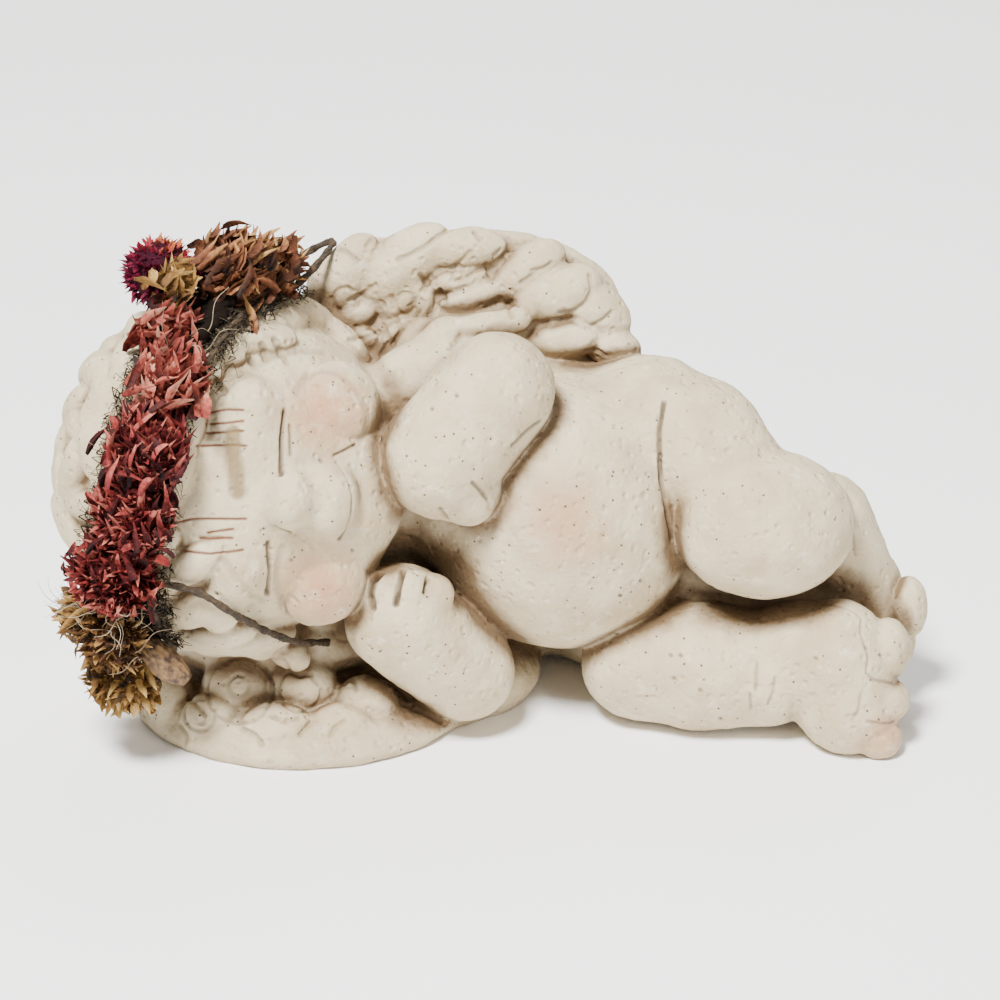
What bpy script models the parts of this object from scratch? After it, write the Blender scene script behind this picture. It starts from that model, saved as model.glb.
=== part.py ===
"""A sleeping cherub figurine, cast in one piece, with a wreath of dried flowers round its head.

The cherub lies on its side, its head to the left and its face to the front, on its lower
wing. The wreath is a twisted vine with flower heads glued along it. +Z is up, the front
is towards -Y, and the origin is on the table, under the middle of the whole.
"""
import math
import random

import bmesh
import bpy
import numpy as np
from mathutils import Matrix, Vector

# Driving dimensions, in metres.
FIGURE_LENGTH = 0.140        # from the hair to the toes
VINE_THICKNESS = 0.0016      # the twisted vine under the flowers
WREATH_WIDTH = 0.016         # the flowers, where the wreath is widest
CLEARANCE = 0.0005           # between the wreath's pieces, and under them
FIGURE_TRIANGLES = 6500      # what the figure is thinned to

# The figure's pose and carving are given in 140ths of its length, and so is all that is
# worked out from them, until it is scaled to metres at the end.
PART = FIGURE_LENGTH / 140
PITCH = 1.2                  # how finely the clay is modelled
VINE = VINE_THICKNESS / 2 / PART
GAP = CLEARANCE / PART
WIDE = WREATH_WIDTH / 2 / PART


def unit(vector):
    """The vector at length one."""
    vector = np.asarray(vector, float)
    return vector / np.linalg.norm(vector)


class Lump:
    """An ellipsoid of clay. Its long axis can be turned along a direction."""

    def __init__(self, centre, radii, along=None, facing=None, blend=1.0):
        self.centre = np.asarray(centre, float)
        self.radii = np.asarray(radii, float)
        self.blend = blend
        self.axes = np.eye(3)
        if along is not None:
            x = unit(along)
            z = np.asarray((0, 0, 1) if facing is None else facing, float)
            z = unit(z - x * (z @ x))
            self.axes = np.array([x, np.cross(z, x), z])
        self.reach = float(self.radii.max()) + 4.0

    def distance(self, points):
        local = (points - self.centre) @ self.axes.T
        near = np.linalg.norm(local / self.radii, axis=1)
        steep = np.linalg.norm(local / self.radii ** 2, axis=1)
        return near * (near - 1.0) / np.maximum(steep, 1e-9)

    def shape(self, bm):
        turn = Matrix(self.axes.T.tolist()).to_4x4()
        size = Matrix.Diagonal((*self.radii, 1.0))
        place = Matrix.Translation(self.centre.tolist())
        bmesh.ops.create_icosphere(bm, subdivisions=3, radius=1.0, matrix=place @ turn @ size)


class Roll:
    """A roll of clay between two balls, each with its own radius."""

    def __init__(self, start, end, start_radius, end_radius=None, blend=1.0):
        self.start = np.asarray(start, float)
        self.end = np.asarray(end, float)
        self.radii = (start_radius, start_radius if end_radius is None else end_radius)
        self.blend = blend
        self.centre = (self.start + self.end) / 2
        self.reach = float(np.linalg.norm(self.end - self.start)) / 2 + max(self.radii) + 4.0

    def distance(self, points):
        span = self.end - self.start
        share = np.clip(((points - self.start) @ span) / (span @ span), 0, 1)
        nearest = self.start + share[:, None] * span
        radius = self.radii[0] + share * (self.radii[1] - self.radii[0])
        return np.linalg.norm(points - nearest, axis=1) - radius

    def shape(self, bm):
        span = Vector((self.end - self.start).tolist())
        steps = max(2, int(span.length / (0.5 * min(self.radii))) + 1)
        for i in range(steps + 1):
            share = i / steps
            ball = Matrix.Translation((self.start + share * (self.end - self.start)).tolist())
            radius = self.radii[0] + share * (self.radii[1] - self.radii[0])
            bmesh.ops.create_icosphere(bm, subdivisions=2, radius=radius, matrix=ball)


class Ring:
    """A ring of round section, pressed into the clay as a curl's line."""

    def __init__(self, centre, facing, radius, thickness, blend=0.5):
        self.centre = np.asarray(centre, float)
        self.facing = unit(facing)
        self.radius = radius
        self.thickness = thickness
        self.blend = blend
        self.reach = radius + thickness + 4.0

    def distance(self, points):
        away = points - self.centre
        height = away @ self.facing
        across = np.sqrt(np.maximum((away ** 2).sum(1) - height ** 2, 0.0))
        return np.hypot(across - self.radius, height) - self.thickness


def joined(first, second, blend):
    """The distance to two shapes run together, with a fillet of about the blend."""
    near = np.maximum(blend - np.abs(first - second), 0.0) / blend
    return np.minimum(first, second) - near * near * blend / 4


def field(points, clay, grooves=()):
    """The distance from each point to the modelled surface, below zero inside it."""
    found = np.full(len(points), 6.0)
    for piece in clay:
        near = np.flatnonzero(((points - piece.centre) ** 2).sum(1) < piece.reach ** 2)
        if len(near):
            found[near] = joined(found[near], piece.distance(points[near]), piece.blend)
    for groove in grooves:
        near = np.flatnonzero(((points - groove.centre) ** 2).sum(1) < groove.reach ** 2)
        if len(near):
            found[near] = -joined(-found[near], groove.distance(points[near]), groove.blend)
    return found


# The head lies on its side: its crown points left and its face to the front.
HEAD = np.array((-39.0, -2.0, 41.0))
SKULL = 26.0
AHEAD = unit((0.38, -0.886, 0.253))
CROWN = unit((-0.918, -0.337, 0.197))
CROWN = unit(CROWN - AHEAD * (CROWN @ AHEAD))
ASIDE = np.cross(AHEAD, CROWN)
MIDLINE = 0.8                # the face's middle, a little low on the head


def on_head(aside, up, ahead):
    """A place on the head, from its middle, in the head's own directions."""
    return HEAD + (aside + MIDLINE) * ASIDE + up * CROWN + ahead * AHEAD


def face():
    """Round cheeks, a button nose, a full lip, a soft chin and lids shut in sleep."""
    clay = [
        Lump(HEAD, (SKULL,) * 3),
        Lump(on_head(0, -12.0, 12.0), (17.0, 9.0, 12.5), ASIDE, AHEAD, blend=4.0),
        Lump(on_head(0, -15.0, 16.5), (8.5, 6.5, 6.5), ASIDE, AHEAD, blend=3.0),
        Lump(on_head(0, -6.2, 23.6), (5.6, 5.4, 5.0), ASIDE, AHEAD, blend=1.0),
        Lump(on_head(0, 0.6, 25.6), (4.6, 3.9, 4.8), ASIDE, AHEAD, blend=1.0),
    ]
    for side in (-1, 1):
        clay += [
            Lump(on_head(side * 13.2, -9.0, 16.6), (7.4, 7.4, 7.4), blend=0.5),
            Lump(on_head(side * 9.2, 5.6, 20.2), (8.6, 5.4, 4.6), ASIDE, AHEAD, blend=3.0),
        ]
    return clay


HAIR_LOCKS = 190             # counted over the whole skull, face and all
LOCK = (6.4, 3.2, 2.8)
HAIRLINE = 0.52


def hair():
    """Locks laid evenly over the skull, circling the crown and falling to the neck and brow."""
    chance = random.Random(7)
    locks = []
    for i in range(HAIR_LOCKS):
        up = 1 - 2 * (i + 0.5) / HAIR_LOCKS
        turn = i * math.radians(137.508) + chance.uniform(-0.1, 0.1)
        out = up * CROWN + math.sqrt(1 - up * up) * (math.cos(turn) * AHEAD + math.sin(turn) * ASIDE)
        aside = abs(out @ ASIDE)
        bald = up + 1.2 * max(aside - 0.4, 0.0) < HAIRLINE and out @ AHEAD > 0.15
        if bald or up < -0.7:
            continue
        swirl = math.radians(chance.uniform(50, 100) if up > 0.2 else chance.uniform(-50, 50))
        meridian = unit(np.cross(np.cross(out, CROWN), out))
        along = math.cos(swirl) * meridian + math.sin(swirl) * np.cross(out, meridian)
        size = np.array(LOCK) * chance.uniform(0.8, 1.2)
        locks.append(Lump(HEAD + (SKULL + 0.1) * out, size, along, out, blend=0.6))
    return locks


def body():
    """Chest, round belly, back and seat, with a rear that reaches the table."""
    return [
        Lump((-3.0, 5.0, 38.0), (17.0, 15.0, 16.0), blend=4.0),
        Lump((12.3, 1.5, 32.3), (21.5, 20.5, 22.0), blend=4.0),
        Lump((6.0, 12.0, 36.0), (20.0, 13.0, 20.0), blend=4.0),
        Lump((24.0, 6.0, 42.0), (12.0, 13.0, 13.5), blend=4.0),
        Lump((32.0, 12.0, 33.0), (15.0, 14.0, 17.0), blend=3.0),
        Lump((26.0, 14.0, 13.0), (19.0, 12.0, 16.0), blend=3.0),
        Lump((-2.0, 15.0, 14.0), (22.0, 11.0, 16.0), blend=4.0),
        Lump((-18.0, 3.0, 38.0), (11.0, 12.0, 14.0), blend=3.0),
        Lump((-19.0, 7.0, 22.0), (10.0, 10.0, 13.0), blend=3.0),
        Lump((-6.0, 3.0, 52.0), (13.0, 9.0, 9.0), blend=3.0),
    ]


def arms():
    """The upper arm folded on the chest, and the lower one with its fist under the chin."""
    clay = [
        Roll((2.0, -7.0, 56.9), (-6.7, -13.0, 48.2), 9.0, 9.4, blend=1.2),
        Lump((-2.4, -15.5, 42.4), (4.4, 4.4, 4.2), blend=1.5),
        Lump((1.0, -14.5, 43.6), (1.8, 2.4, 3.2), blend=0.6),
        Roll((-13.1, -15.0, 21.7), (-3.3, -11.0, 10.6), 8.7, 8.2, blend=1.2),
    ]
    knuckle = np.array((-12.8, -17.0, 20.0))
    for tip in ((-17.6, -18.0, 28.0), (-11.4, -19.0, 28.6), (-7.2, -17.0, 27.2)):
        tip = np.array(tip)
        clay.append(Roll(tip, tip + 0.6 * (knuckle - tip), 2.5, 4.0, blend=0.5))
    return clay


def legs():
    """The upper leg drawn up to its round knee, the lower one along the table."""
    clay = [
        Roll((27.0, 5.0, 44.0), (33.2, 1.0, 43.5), 12.4, 11.0, blend=2.5),
        Roll((33.2, 1.0, 43.5), (40.1, -5.0, 37.3), 11.0, 9.8, blend=1.2),
        Lump((43.6, -8.0, 34.6), (14.2, 12.5, 11.6), blend=1.0),
        Roll((53.6, 2.0, 29.6), (61.0, 3.0, 19.6), 8.6, 5.4, blend=1.0),
        Roll((34.0, 9.0, 20.0), (56.0, 6.0, 14.0), 12.0, 9.0, blend=2.0),
        Lump((63.0, 3.0, 14.5), (4.6, 6.0, 8.0), blend=1.5),
        Lump((68.0, -0.5, 16.4), (2.9, 4.6, 5.0), blend=0.6),
        Lump((66.6, -1.0, 10.2), (2.6, 4.2, 3.6), blend=0.6),
        Roll((24.8, -6.5, 9.4), (34.5, -8.5, 9.8), 9.2, 9.7, blend=1.2),
        Roll((34.5, -8.5, 9.8), (45.0, -10.0, 10.2), 9.7, 9.2, blend=2.0),
        Lump((55.6, -12.0, 11.0), (9.4, 9.4, 11.6), blend=0.8),
        Lump((57.5, -16.0, 6.0), (7.6, 7.5, 7.0), blend=2.0),
        Roll((26.0, -4.0, 9.0), (30.0, 10.0, 14.0), 8.0, 12.0, blend=3.0),
    ]
    toes = (((63.3, -13.0, 15.2), (3.6, 4.6, 5.0)),
            ((63.0, -16.2, 7.9), (3.8, 4.4, 3.3)),
            ((61.8, -18.6, 2.6), (3.9, 4.2, 3.4)))
    return clay + [Lump(place, size, blend=0.5) for place, size in toes]


# The way the wings' feathers, the fingers and the creases face: forward and a little up.
FORWARD = (0.0, -0.9, 0.42)


def feather(root, tip, half_width, half_depth, blend=0.6):
    """A rounded feather: a lump laid from its root to its tip."""
    root, tip = np.asarray(root, float), np.asarray(tip, float)
    half_length = float(np.linalg.norm(tip - root)) / 2 + 0.8 * half_width
    return Lump((root + tip) / 2, (half_length, half_width, half_depth), tip - root, FORWARD, blend)


def upper_wing():
    """The wing that stands behind the head and shoulder, with a scalloped edge."""
    outer = (((-25.7, 15.0, 62.0), (-19.5, 16.0, 70.6), 4.2),
             ((-17.2, 15.0, 65.6), (-8.8, 16.0, 72.2), 4.6),
             ((-6.9, 16.0, 70.6), (1.0, 16.0, 71.6), 3.4),
             ((3.3, 15.0, 65.5), (10.0, 16.0, 69.8), 3.9),
             ((7.6, 13.0, 63.4), (15.4, 14.0, 66.2), 4.0),
             ((15.0, 14.0, 64.0), (20.4, 14.0, 59.8), 4.0),
             ((18.0, 13.0, 56.4), (22.4, 13.0, 55.4), 3.2),
             ((9.0, 11.0, 57.3), (16.6, 12.0, 57.8), 3.1))
    clay = [
        Lump((-1.0, 21.0, 59.0), (23.0, 6.0, 13.5), blend=1.0),
        Lump((-17.0, 20.0, 60.0), (12.0, 6.0, 11.5), blend=2.0),
        Lump((-3.0, 15.0, 52.0), (20.0, 7.0, 12.0), blend=3.0),
    ]
    clay += [feather(root, tip, width, 3.4) for root, tip, width in outer]
    inner = (((-24.0, 13.0, 60.0), (-19.0, 13.0, 62.0), 2.6), ((-23.0, 12.0, 56.6), (-18.0, 11.0, 58.0), 2.0),
             ((-15.0, 13.6, 62.0), (-11.0, 13.6, 65.6), 2.6), ((-9.6, 12.6, 61.0), (-9.0, 13.4, 65.0), 1.6),
             ((-7.0, 13.4, 66.4), (-1.0, 14.0, 67.6), 2.0), ((-5.6, 12.6, 63.2), (1.4, 13.2, 65.4), 2.1),
             ((-16.6, 11.0, 56.0), (-12.4, 12.4, 60.4), 1.6), ((-13.0, 10.4, 56.2), (-9.0, 11.6, 60.2), 1.6))
    clay += [feather(root, tip, width, 1.8, blend=0.5) for root, tip, width in inner]
    clay.append(Roll((-15.0, 6.0, 53.0), (-6.0, 7.0, 60.0), 2.6, 2.8, blend=1.2))
    clay.append(Roll((-6.0, 7.0, 60.0), (5.5, 10.0, 61.8), 2.8, 2.0, blend=1.2))
    return clay


def lower_wing():
    """The wing spread on the table under the head, with curled feathers on it."""
    clay = [
        Lump((-29.0, -1.0, 1.6), (27.5, 24.5, 6.0), blend=1.0),
        Lump((-8.0, 4.0, 3.0), (17.0, 15.0, 8.0), blend=3.0),
        Lump((-38.7, -10.6, 6.8), (6.2, 5.2, 5.8), blend=0.6),
        Lump((-28.8, -11.6, 7.2), (6.0, 4.8, 5.4), blend=0.6),
        Lump((-18.8, -13.0, 5.2), (5.4, 4.2, 5.0), blend=0.6),
        Lump((-32.6, -18.6, 3.4), (6.2, 4.6, 4.8), blend=0.6),
        Lump((-22.6, -17.6, 3.0), (5.6, 4.4, 4.6), blend=0.6),
        Lump((-43.0, -15.6, 3.2), (5.2, 4.8, 5.0), blend=0.6),
        Lump((-49.6, -10.0, 4.0), (4.0, 5.6, 5.0), blend=0.6),
        Lump((-33.0, 2.0, 13.0), (21.0, 14.0, 9.0), blend=1.5),
        Lump((-14.0, 0.0, 13.0), (9.0, 9.0, 8.0), blend=2.0),
    ]
    curls = (((-45.6, -15.4, 25.0), 3.4), ((-41.0, -16.2, 22.0), 3.4), ((-36.0, -16.0, 18.6), 3.2),
             ((-30.6, -14.6, 15.4), 2.8), ((-48.5, -10.0, 18.6), 3.4))
    for place, size in curls:
        clay.append(Lump(place, (1.3 * size, size, 0.9 * size), (1, -0.2, -0.6), blend=0.5))
    return clay


def on_surface(place, toward, clay, height=0.0):
    """Where the clay, or a skin that high above it, is met from outside along a direction."""
    toward = unit(toward)
    reach = np.linspace(16.0, -16.0, 161)
    line = np.asarray(place, float) + reach[:, None] * toward
    met = np.flatnonzero(field(line, clay) <= height)
    return line[met[0]] if len(met) else np.asarray(place, float)


def line_pressed(places, toward, clay, thickness, blend=0.5):
    """A groove through the places, each first brought to the surface of the clay."""
    spots = [on_surface(place, toward, clay) for place in places]
    return [Roll(start, end, thickness, blend=blend) for start, end in zip(spots, spots[1:])]


def grooves(clay):
    """What is pressed into the clay: shut eyes, the smile, fingers, creases and curls."""
    cuts = []
    for side in (-1, 1):
        slit = ((3.8, 2.0), (6.6, 1.7), (9.2, 1.4), (11.8, 1.0), (14.0, 0.7))
        cuts += line_pressed([on_head(side * aside, up, 24.0) for aside, up in slit], AHEAD, clay, 0.7)
    smile = ((-6.6, -6.6), (-5.4, -9.2), (-3.0, -11.2), (0.0, -11.9), (3.0, -11.2), (5.4, -9.2), (6.6, -6.6))
    cuts += line_pressed([on_head(*spot, 24.0) for spot in smile], AHEAD, clay, 0.7)
    groin = ((27.9, -6.0, 54.5), (27.0, -9.0, 51.0), (26.9, -11.4, 48.0), (27.3, -12.6, 44.0),
             (27.9, -13.6, 40.0))
    cuts += line_pressed(groin, FORWARD, clay, 0.6)
    fingers = (((-14.4, -19.0, 27.0), (-14.6, -20.0, 23.0)), ((-9.2, -19.0, 26.4), (-9.6, -20.0, 23.6)),
               ((-19.0, -18.0, 25.5), (-19.4, -18.0, 21.0)))
    ankle = (((42.0, -16.0, 7.6), (42.0, -16.0, 4.6)), ((44.0, -16.0, 13.0), (44.4, -16.0, 8.0)))
    for line in fingers + ankle:
        cuts += line_pressed(line, FORWARD, clay, 0.6)
    rings = (((-38.7, -13.0, 8.0), 3.6), ((-38.7, -13.0, 8.0), 1.5), ((-29.2, -14.0, 8.4), 2.6),
             ((-12.4, 11.6, 63.4), 2.2), ((-31.9, -22.0, 4.0), 2.6))
    cuts += [Ring(on_surface(place, FORWARD, clay), FORWARD, radius, 0.5) for place, radius in rings]
    return cuts


def figure_clay():
    """All the clay of the cherub."""
    return face() + hair() + body() + arms() + legs() + upper_wing() + lower_wing()


def sculpt(name, clay, pitch, steps=4):
    """Joins the clay into one skin, then eases that skin onto the modelled surface."""
    cuts = grooves(clay)
    rough = bpy.data.meshes.new(name)
    bm = bmesh.new()
    for piece in clay:
        piece.shape(bm)
    bm.to_mesh(rough)
    bm.free()
    skin = bpy.data.objects.new(name, rough)
    bpy.context.scene.collection.objects.link(skin)
    remesh = skin.modifiers.new("One skin", "REMESH")
    remesh.mode = "VOXEL"
    remesh.voxel_size = pitch
    even = skin.modifiers.new("Even", "SMOOTH")
    even.iterations = 2
    apply_modifiers(skin)
    points = np.empty(len(skin.data.vertices) * 3, np.float32)
    skin.data.vertices.foreach_get("co", points)
    points = points.reshape(-1, 3).astype(float)
    nudge = 0.05
    for _ in range(steps):
        here = field(points, clay, cuts)
        slope = [field(points + nudge * axis, clay, cuts) - here for axis in np.eye(3)]
        slope = np.stack(slope, axis=1) / nudge
        move = -(here / np.maximum((slope ** 2).sum(1), 0.25))[:, None] * slope
        size = np.linalg.norm(move, axis=1)
        points += move * np.minimum(1.0, pitch / np.maximum(size, 1e-9))[:, None]
    skin.data.vertices.foreach_set("co", points.astype(np.float32).ravel())
    skin.data.update()
    return skin


def apply_modifiers(thing):
    """Turns an object's modifiers into plain mesh."""
    bpy.context.view_layer.update()
    evaluated = thing.evaluated_get(bpy.context.evaluated_depsgraph_get())
    mesh = bpy.data.meshes.new_from_object(evaluated)
    thing.modifiers.clear()
    thing.data = mesh


def cast_figure(clay, cutters):
    """The whole cherub, thinned out and cut flat where it stands."""
    figure = sculpt("figure", clay, PITCH)
    thin = figure.modifiers.new("Thin out", "DECIMATE")
    thin.ratio = FIGURE_TRIANGLES / (2 * len(figure.data.polygons))
    thin.use_collapse_triangulate = True
    apply_modifiers(figure)
    bm = bmesh.new()
    wide, deep = 300, 40
    place = Matrix.Translation((0, 0, -deep / 2)) @ Matrix.Diagonal((wide, wide, deep, 1))
    bmesh.ops.create_cube(bm, size=1.0, matrix=place)
    mesh = bpy.data.meshes.new("below_the_table")
    bm.to_mesh(mesh)
    bm.free()
    table = bpy.data.objects.new("below_the_table", mesh)
    cutters.objects.link(table)
    table.hide_render = True
    table.display_type = "WIRE"
    flat = figure.modifiers.new("Flat underside", "BOOLEAN")
    flat.operation = "DIFFERENCE"
    flat.solver = "EXACT"
    flat.object = table
    apply_modifiers(figure)
    return figure


# The wreath is a long narrow loop of vine, laid over the head like a band: up the brow,
# over the side of the head that is on top, and down to the wing. Its plane is given by the
# direction of its top end, from the head's middle, and the direction of its front.
BAND_MIDDLE = HEAD + np.array((-2.2, 0.0, 0.0))
BAND_TOP = unit((0.297, 0.404, 0.866))
BAND_FRONT = unit((-0.37, -0.785, 0.493))
BAND_ACROSS = np.cross(BAND_TOP, BAND_FRONT)     # towards the face
BAND_START = -5              # degrees round from the top end
BAND_END = 166
STRAND_SPACING = 7.0         # between the loop's two strands
LOOP_ASIDE = 1.6             # the loop's middle, towards the face
LOOP_REACH = 30.0            # the vine's usual distance from the band's middle
A_RADIAN = 57.3              # in degrees


def band_direction(turn):
    """The way out from the band's middle, at some degrees round from its top end."""
    return math.cos(math.radians(turn)) * BAND_TOP + math.sin(math.radians(turn)) * BAND_FRONT


def on_band(turn, across, clay, height):
    """A place above the hair, at an angle round the band and a distance across it."""
    out = band_direction(turn)
    reach = np.linspace(44.0, 20.0, 121)
    line = BAND_MIDDLE + across * BAND_ACROSS + reach[:, None] * out
    met = np.flatnonzero(field(line, clay) <= height)
    return line[met[0]] if len(met) else line[60]


def vine_route(clay, count=56):
    """The loop's route: along one strand, round its end and back along the other."""
    half = STRAND_SPACING / 2
    round_end = math.degrees(half / LOOP_REACH)
    route = []
    long_way = BAND_END - BAND_START
    bend = math.pi * half / LOOP_REACH * A_RADIAN
    whole = 2 * (long_way + bend)
    for i in range(count):
        along = whole * i / count
        if along < long_way:
            turn, across = BAND_START + along, half
        elif along < long_way + bend:
            angle = math.pi * (along - long_way) / bend
            turn, across = BAND_END + round_end * math.sin(angle), half * math.cos(angle)
        elif along < 2 * long_way + bend:
            turn, across = BAND_END - (along - long_way - bend), -half
        else:
            angle = math.pi * (along - 2 * long_way - bend) / bend
            turn, across = BAND_START - round_end * math.sin(angle), -half * math.cos(angle)
        route.append(on_band(turn, across + LOOP_ASIDE, clay, VINE + GAP))
    route = np.array(route)
    out = (route - BAND_MIDDLE) - ((route - BAND_MIDDLE) @ BAND_ACROSS)[:, None] * BAND_ACROSS
    reach = np.linalg.norm(out, axis=1)
    highest = np.maximum.reduce([np.roll(reach, shift) for shift in (-1, 0, 1)])
    eased = (np.roll(highest, 1) + 2 * highest + np.roll(highest, -1)) / 4
    return route + out / reach[:, None] * (np.maximum(eased, reach) - reach)[:, None]


def tube(name, route, radius, closed, sides=6):
    """A round stem along a route, its ends capped."""
    curve = bpy.data.curves.new(name, "CURVE")
    curve.dimensions = "3D"
    curve.bevel_depth = radius
    curve.bevel_resolution = (sides - 4) // 2
    curve.use_fill_caps = True
    spline = curve.splines.new("POLY")
    spline.points.add(len(route) - 1)
    for point, place in zip(spline.points, route):
        point.co = (*place, 1.0)
    spline.use_cyclic_u = closed
    stem = bpy.data.objects.new(name, curve)
    bpy.context.scene.collection.objects.link(stem)
    bpy.context.view_layer.update()
    evaluated = stem.evaluated_get(bpy.context.evaluated_depsgraph_get())
    mesh = bpy.data.meshes.new_from_object(evaluated)
    bpy.data.objects.remove(stem)
    bm = bmesh.new()
    bm.from_mesh(mesh)
    bmesh.ops.remove_doubles(bm, verts=bm.verts, dist=1e-4)
    bmesh.ops.recalc_face_normals(bm, faces=bm.faces)
    bm.to_mesh(mesh)
    bm.free()
    solid = bpy.data.objects.new(name, mesh)
    bpy.context.scene.collection.objects.link(solid)
    return solid


# The vine's loose end hangs from the wreath, across the hair and under the cheek.
TAIL = ((-47.4, -24.6, 32.6), (-43.3, -25.0, 31.9), (-38.2, -24.0, 28.4), (-33.9, -21.0, 22.6),
        (-28.8, -18.6, 19.0), (-25.0, -17.4, 18.2))


def tail_route(clay, count=16):
    """The loose end, on the outside of the hair."""
    outside = (-0.1, -0.9, 0.4)
    spots = np.array([on_surface(spot, outside, clay, VINE + GAP) for spot in TAIL])
    steps = np.linspace(0, len(spots) - 1, count)
    route = np.stack([np.interp(steps, range(len(spots)), spots[:, axis]) for axis in range(3)], axis=1)
    eased = route.copy()
    eased[1:-1] = (route[:-2] + 2 * route[1:-1] + route[2:]) / 4
    return np.array([on_surface(spot, outside, clay, VINE + GAP) for spot in eased])


# Each flower head: its name, its angle round the band, how far across the band and above
# the hair its middle is, and its half sizes along, across and outward, in shares of half
# the wreath's width, and its colour.
FLOWER_HEADS = (
    ("bract_head_1", 54, -0.25, 0.30, (0.58, 0.62, 0.52), "red"),
    ("bract_head_2", 68, 0.38, 0.32, (0.66, 0.72, 0.55), "red"),
    ("bract_head_3", 88, 0.42, 0.38, (0.82, 0.92, 0.60), "red"),
    ("bract_head_4", 107, 0.42, 0.40, (0.84, 0.92, 0.62), "red"),
    ("bract_head_5", 126, 0.12, 0.42, (0.84, 0.98, 0.64), "red"),
    ("long_bract_head_1", 7, 0.10, 0.50, (0.95, 0.62, 0.66), "brown"),
    ("long_bract_head_2", 27, 0.05, 0.60, (0.95, 0.74, 0.78), "brown"),
    ("tan_head_1", 45, -0.50, 0.92, (0.52, 0.52, 0.52), "tan"),
    ("tan_head_2", 149, -0.95, 0.50, (0.60, 0.62, 0.60), "tan"),
    ("tan_head_3", 148, -0.02, 0.55, (0.78, 0.80, 0.70), "tan"),
    ("tan_head_4", 165, -0.05, 0.95, (0.70, 0.85, 0.66), "tan"),
    ("curled_leaf", 158, 0.85, 0.40, (0.60, 0.42, 0.42), "brown"),
    ("globe_head", 43, -1.12, 0.88, (0.66, 0.60, 0.66), "magenta"),
)


def head_middle(turn, across, high, clay):
    """The middle of a flower head, so far out from the vine that lies on the hair."""
    return on_band(turn, across * WIDE, clay, 2 * VINE + GAP) + high * WIDE * band_direction(turn)


def flower_head(name, middle, turn, half_sizes, others, solids):
    """A lump of petals round its middle, kept clear of the hair, the vine and its neighbours."""
    out = band_direction(turn)
    along = unit(np.cross(BAND_ACROSS, out))
    axes = np.array((along, BAND_ACROSS, out))
    bm = bmesh.new()
    bmesh.ops.create_uvsphere(bm, u_segments=12, v_segments=8, radius=1.0)
    bmesh.ops.triangulate(bm, faces=bm.faces)
    sides = np.array([[vert.index for vert in face.verts] for face in bm.faces])
    ways = np.array([vert.co[:] for vert in bm.verts]) @ axes
    sizes = np.asarray(half_sizes) * WIDE
    petals = np.array([0.90 if index % 2 else 1.06 for index in range(len(ways))])
    reach = petals / np.sqrt((((ways @ axes.T) / sizes) ** 2).sum(1))
    for other, other_sizes in others:
        apart = other - middle
        distance = np.linalg.norm(apart)
        facing = apart / distance
        own, theirs = max(half_sizes), max(other_sizes)
        wall = distance * own / (own + theirs) - GAP / 2
        towards = ways @ facing
        near = towards > 1e-3
        reach[near] = np.minimum(reach[near], wall / towards[near])
    for _ in range(40):
        corners = middle + ways * reach[:, None]
        close = field(corners, solids) < 1.4 * GAP
        centres = corners[sides].mean(1)
        halfway = (corners[sides] + corners[np.roll(sides, 1, axis=1)]) / 2
        low = field(centres, solids) < GAP
        low |= (field(halfway.reshape(-1, 3), solids) < GAP).reshape(-1, 3).any(1)
        close[sides[low].ravel()] = True
        if not close.any():
            break
        reach[close] *= 0.95
    for vert, way, length in zip(bm.verts, ways, reach):
        vert.co = Vector((middle + way * length).tolist())
    mesh = bpy.data.meshes.new(name)
    bm.to_mesh(mesh)
    bm.free()
    head = bpy.data.objects.new(name, mesh)
    bpy.context.scene.collection.objects.link(head)
    return head


def material(name, red, green, blue, roughness):
    """A plain material."""
    made = bpy.data.materials.new(name)
    made.use_nodes = True
    shader = made.node_tree.nodes["Principled BSDF"]
    shader.inputs["Base Color"].default_value = (red, green, blue, 1.0)
    shader.inputs["Roughness"].default_value = roughness
    return made


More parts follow.
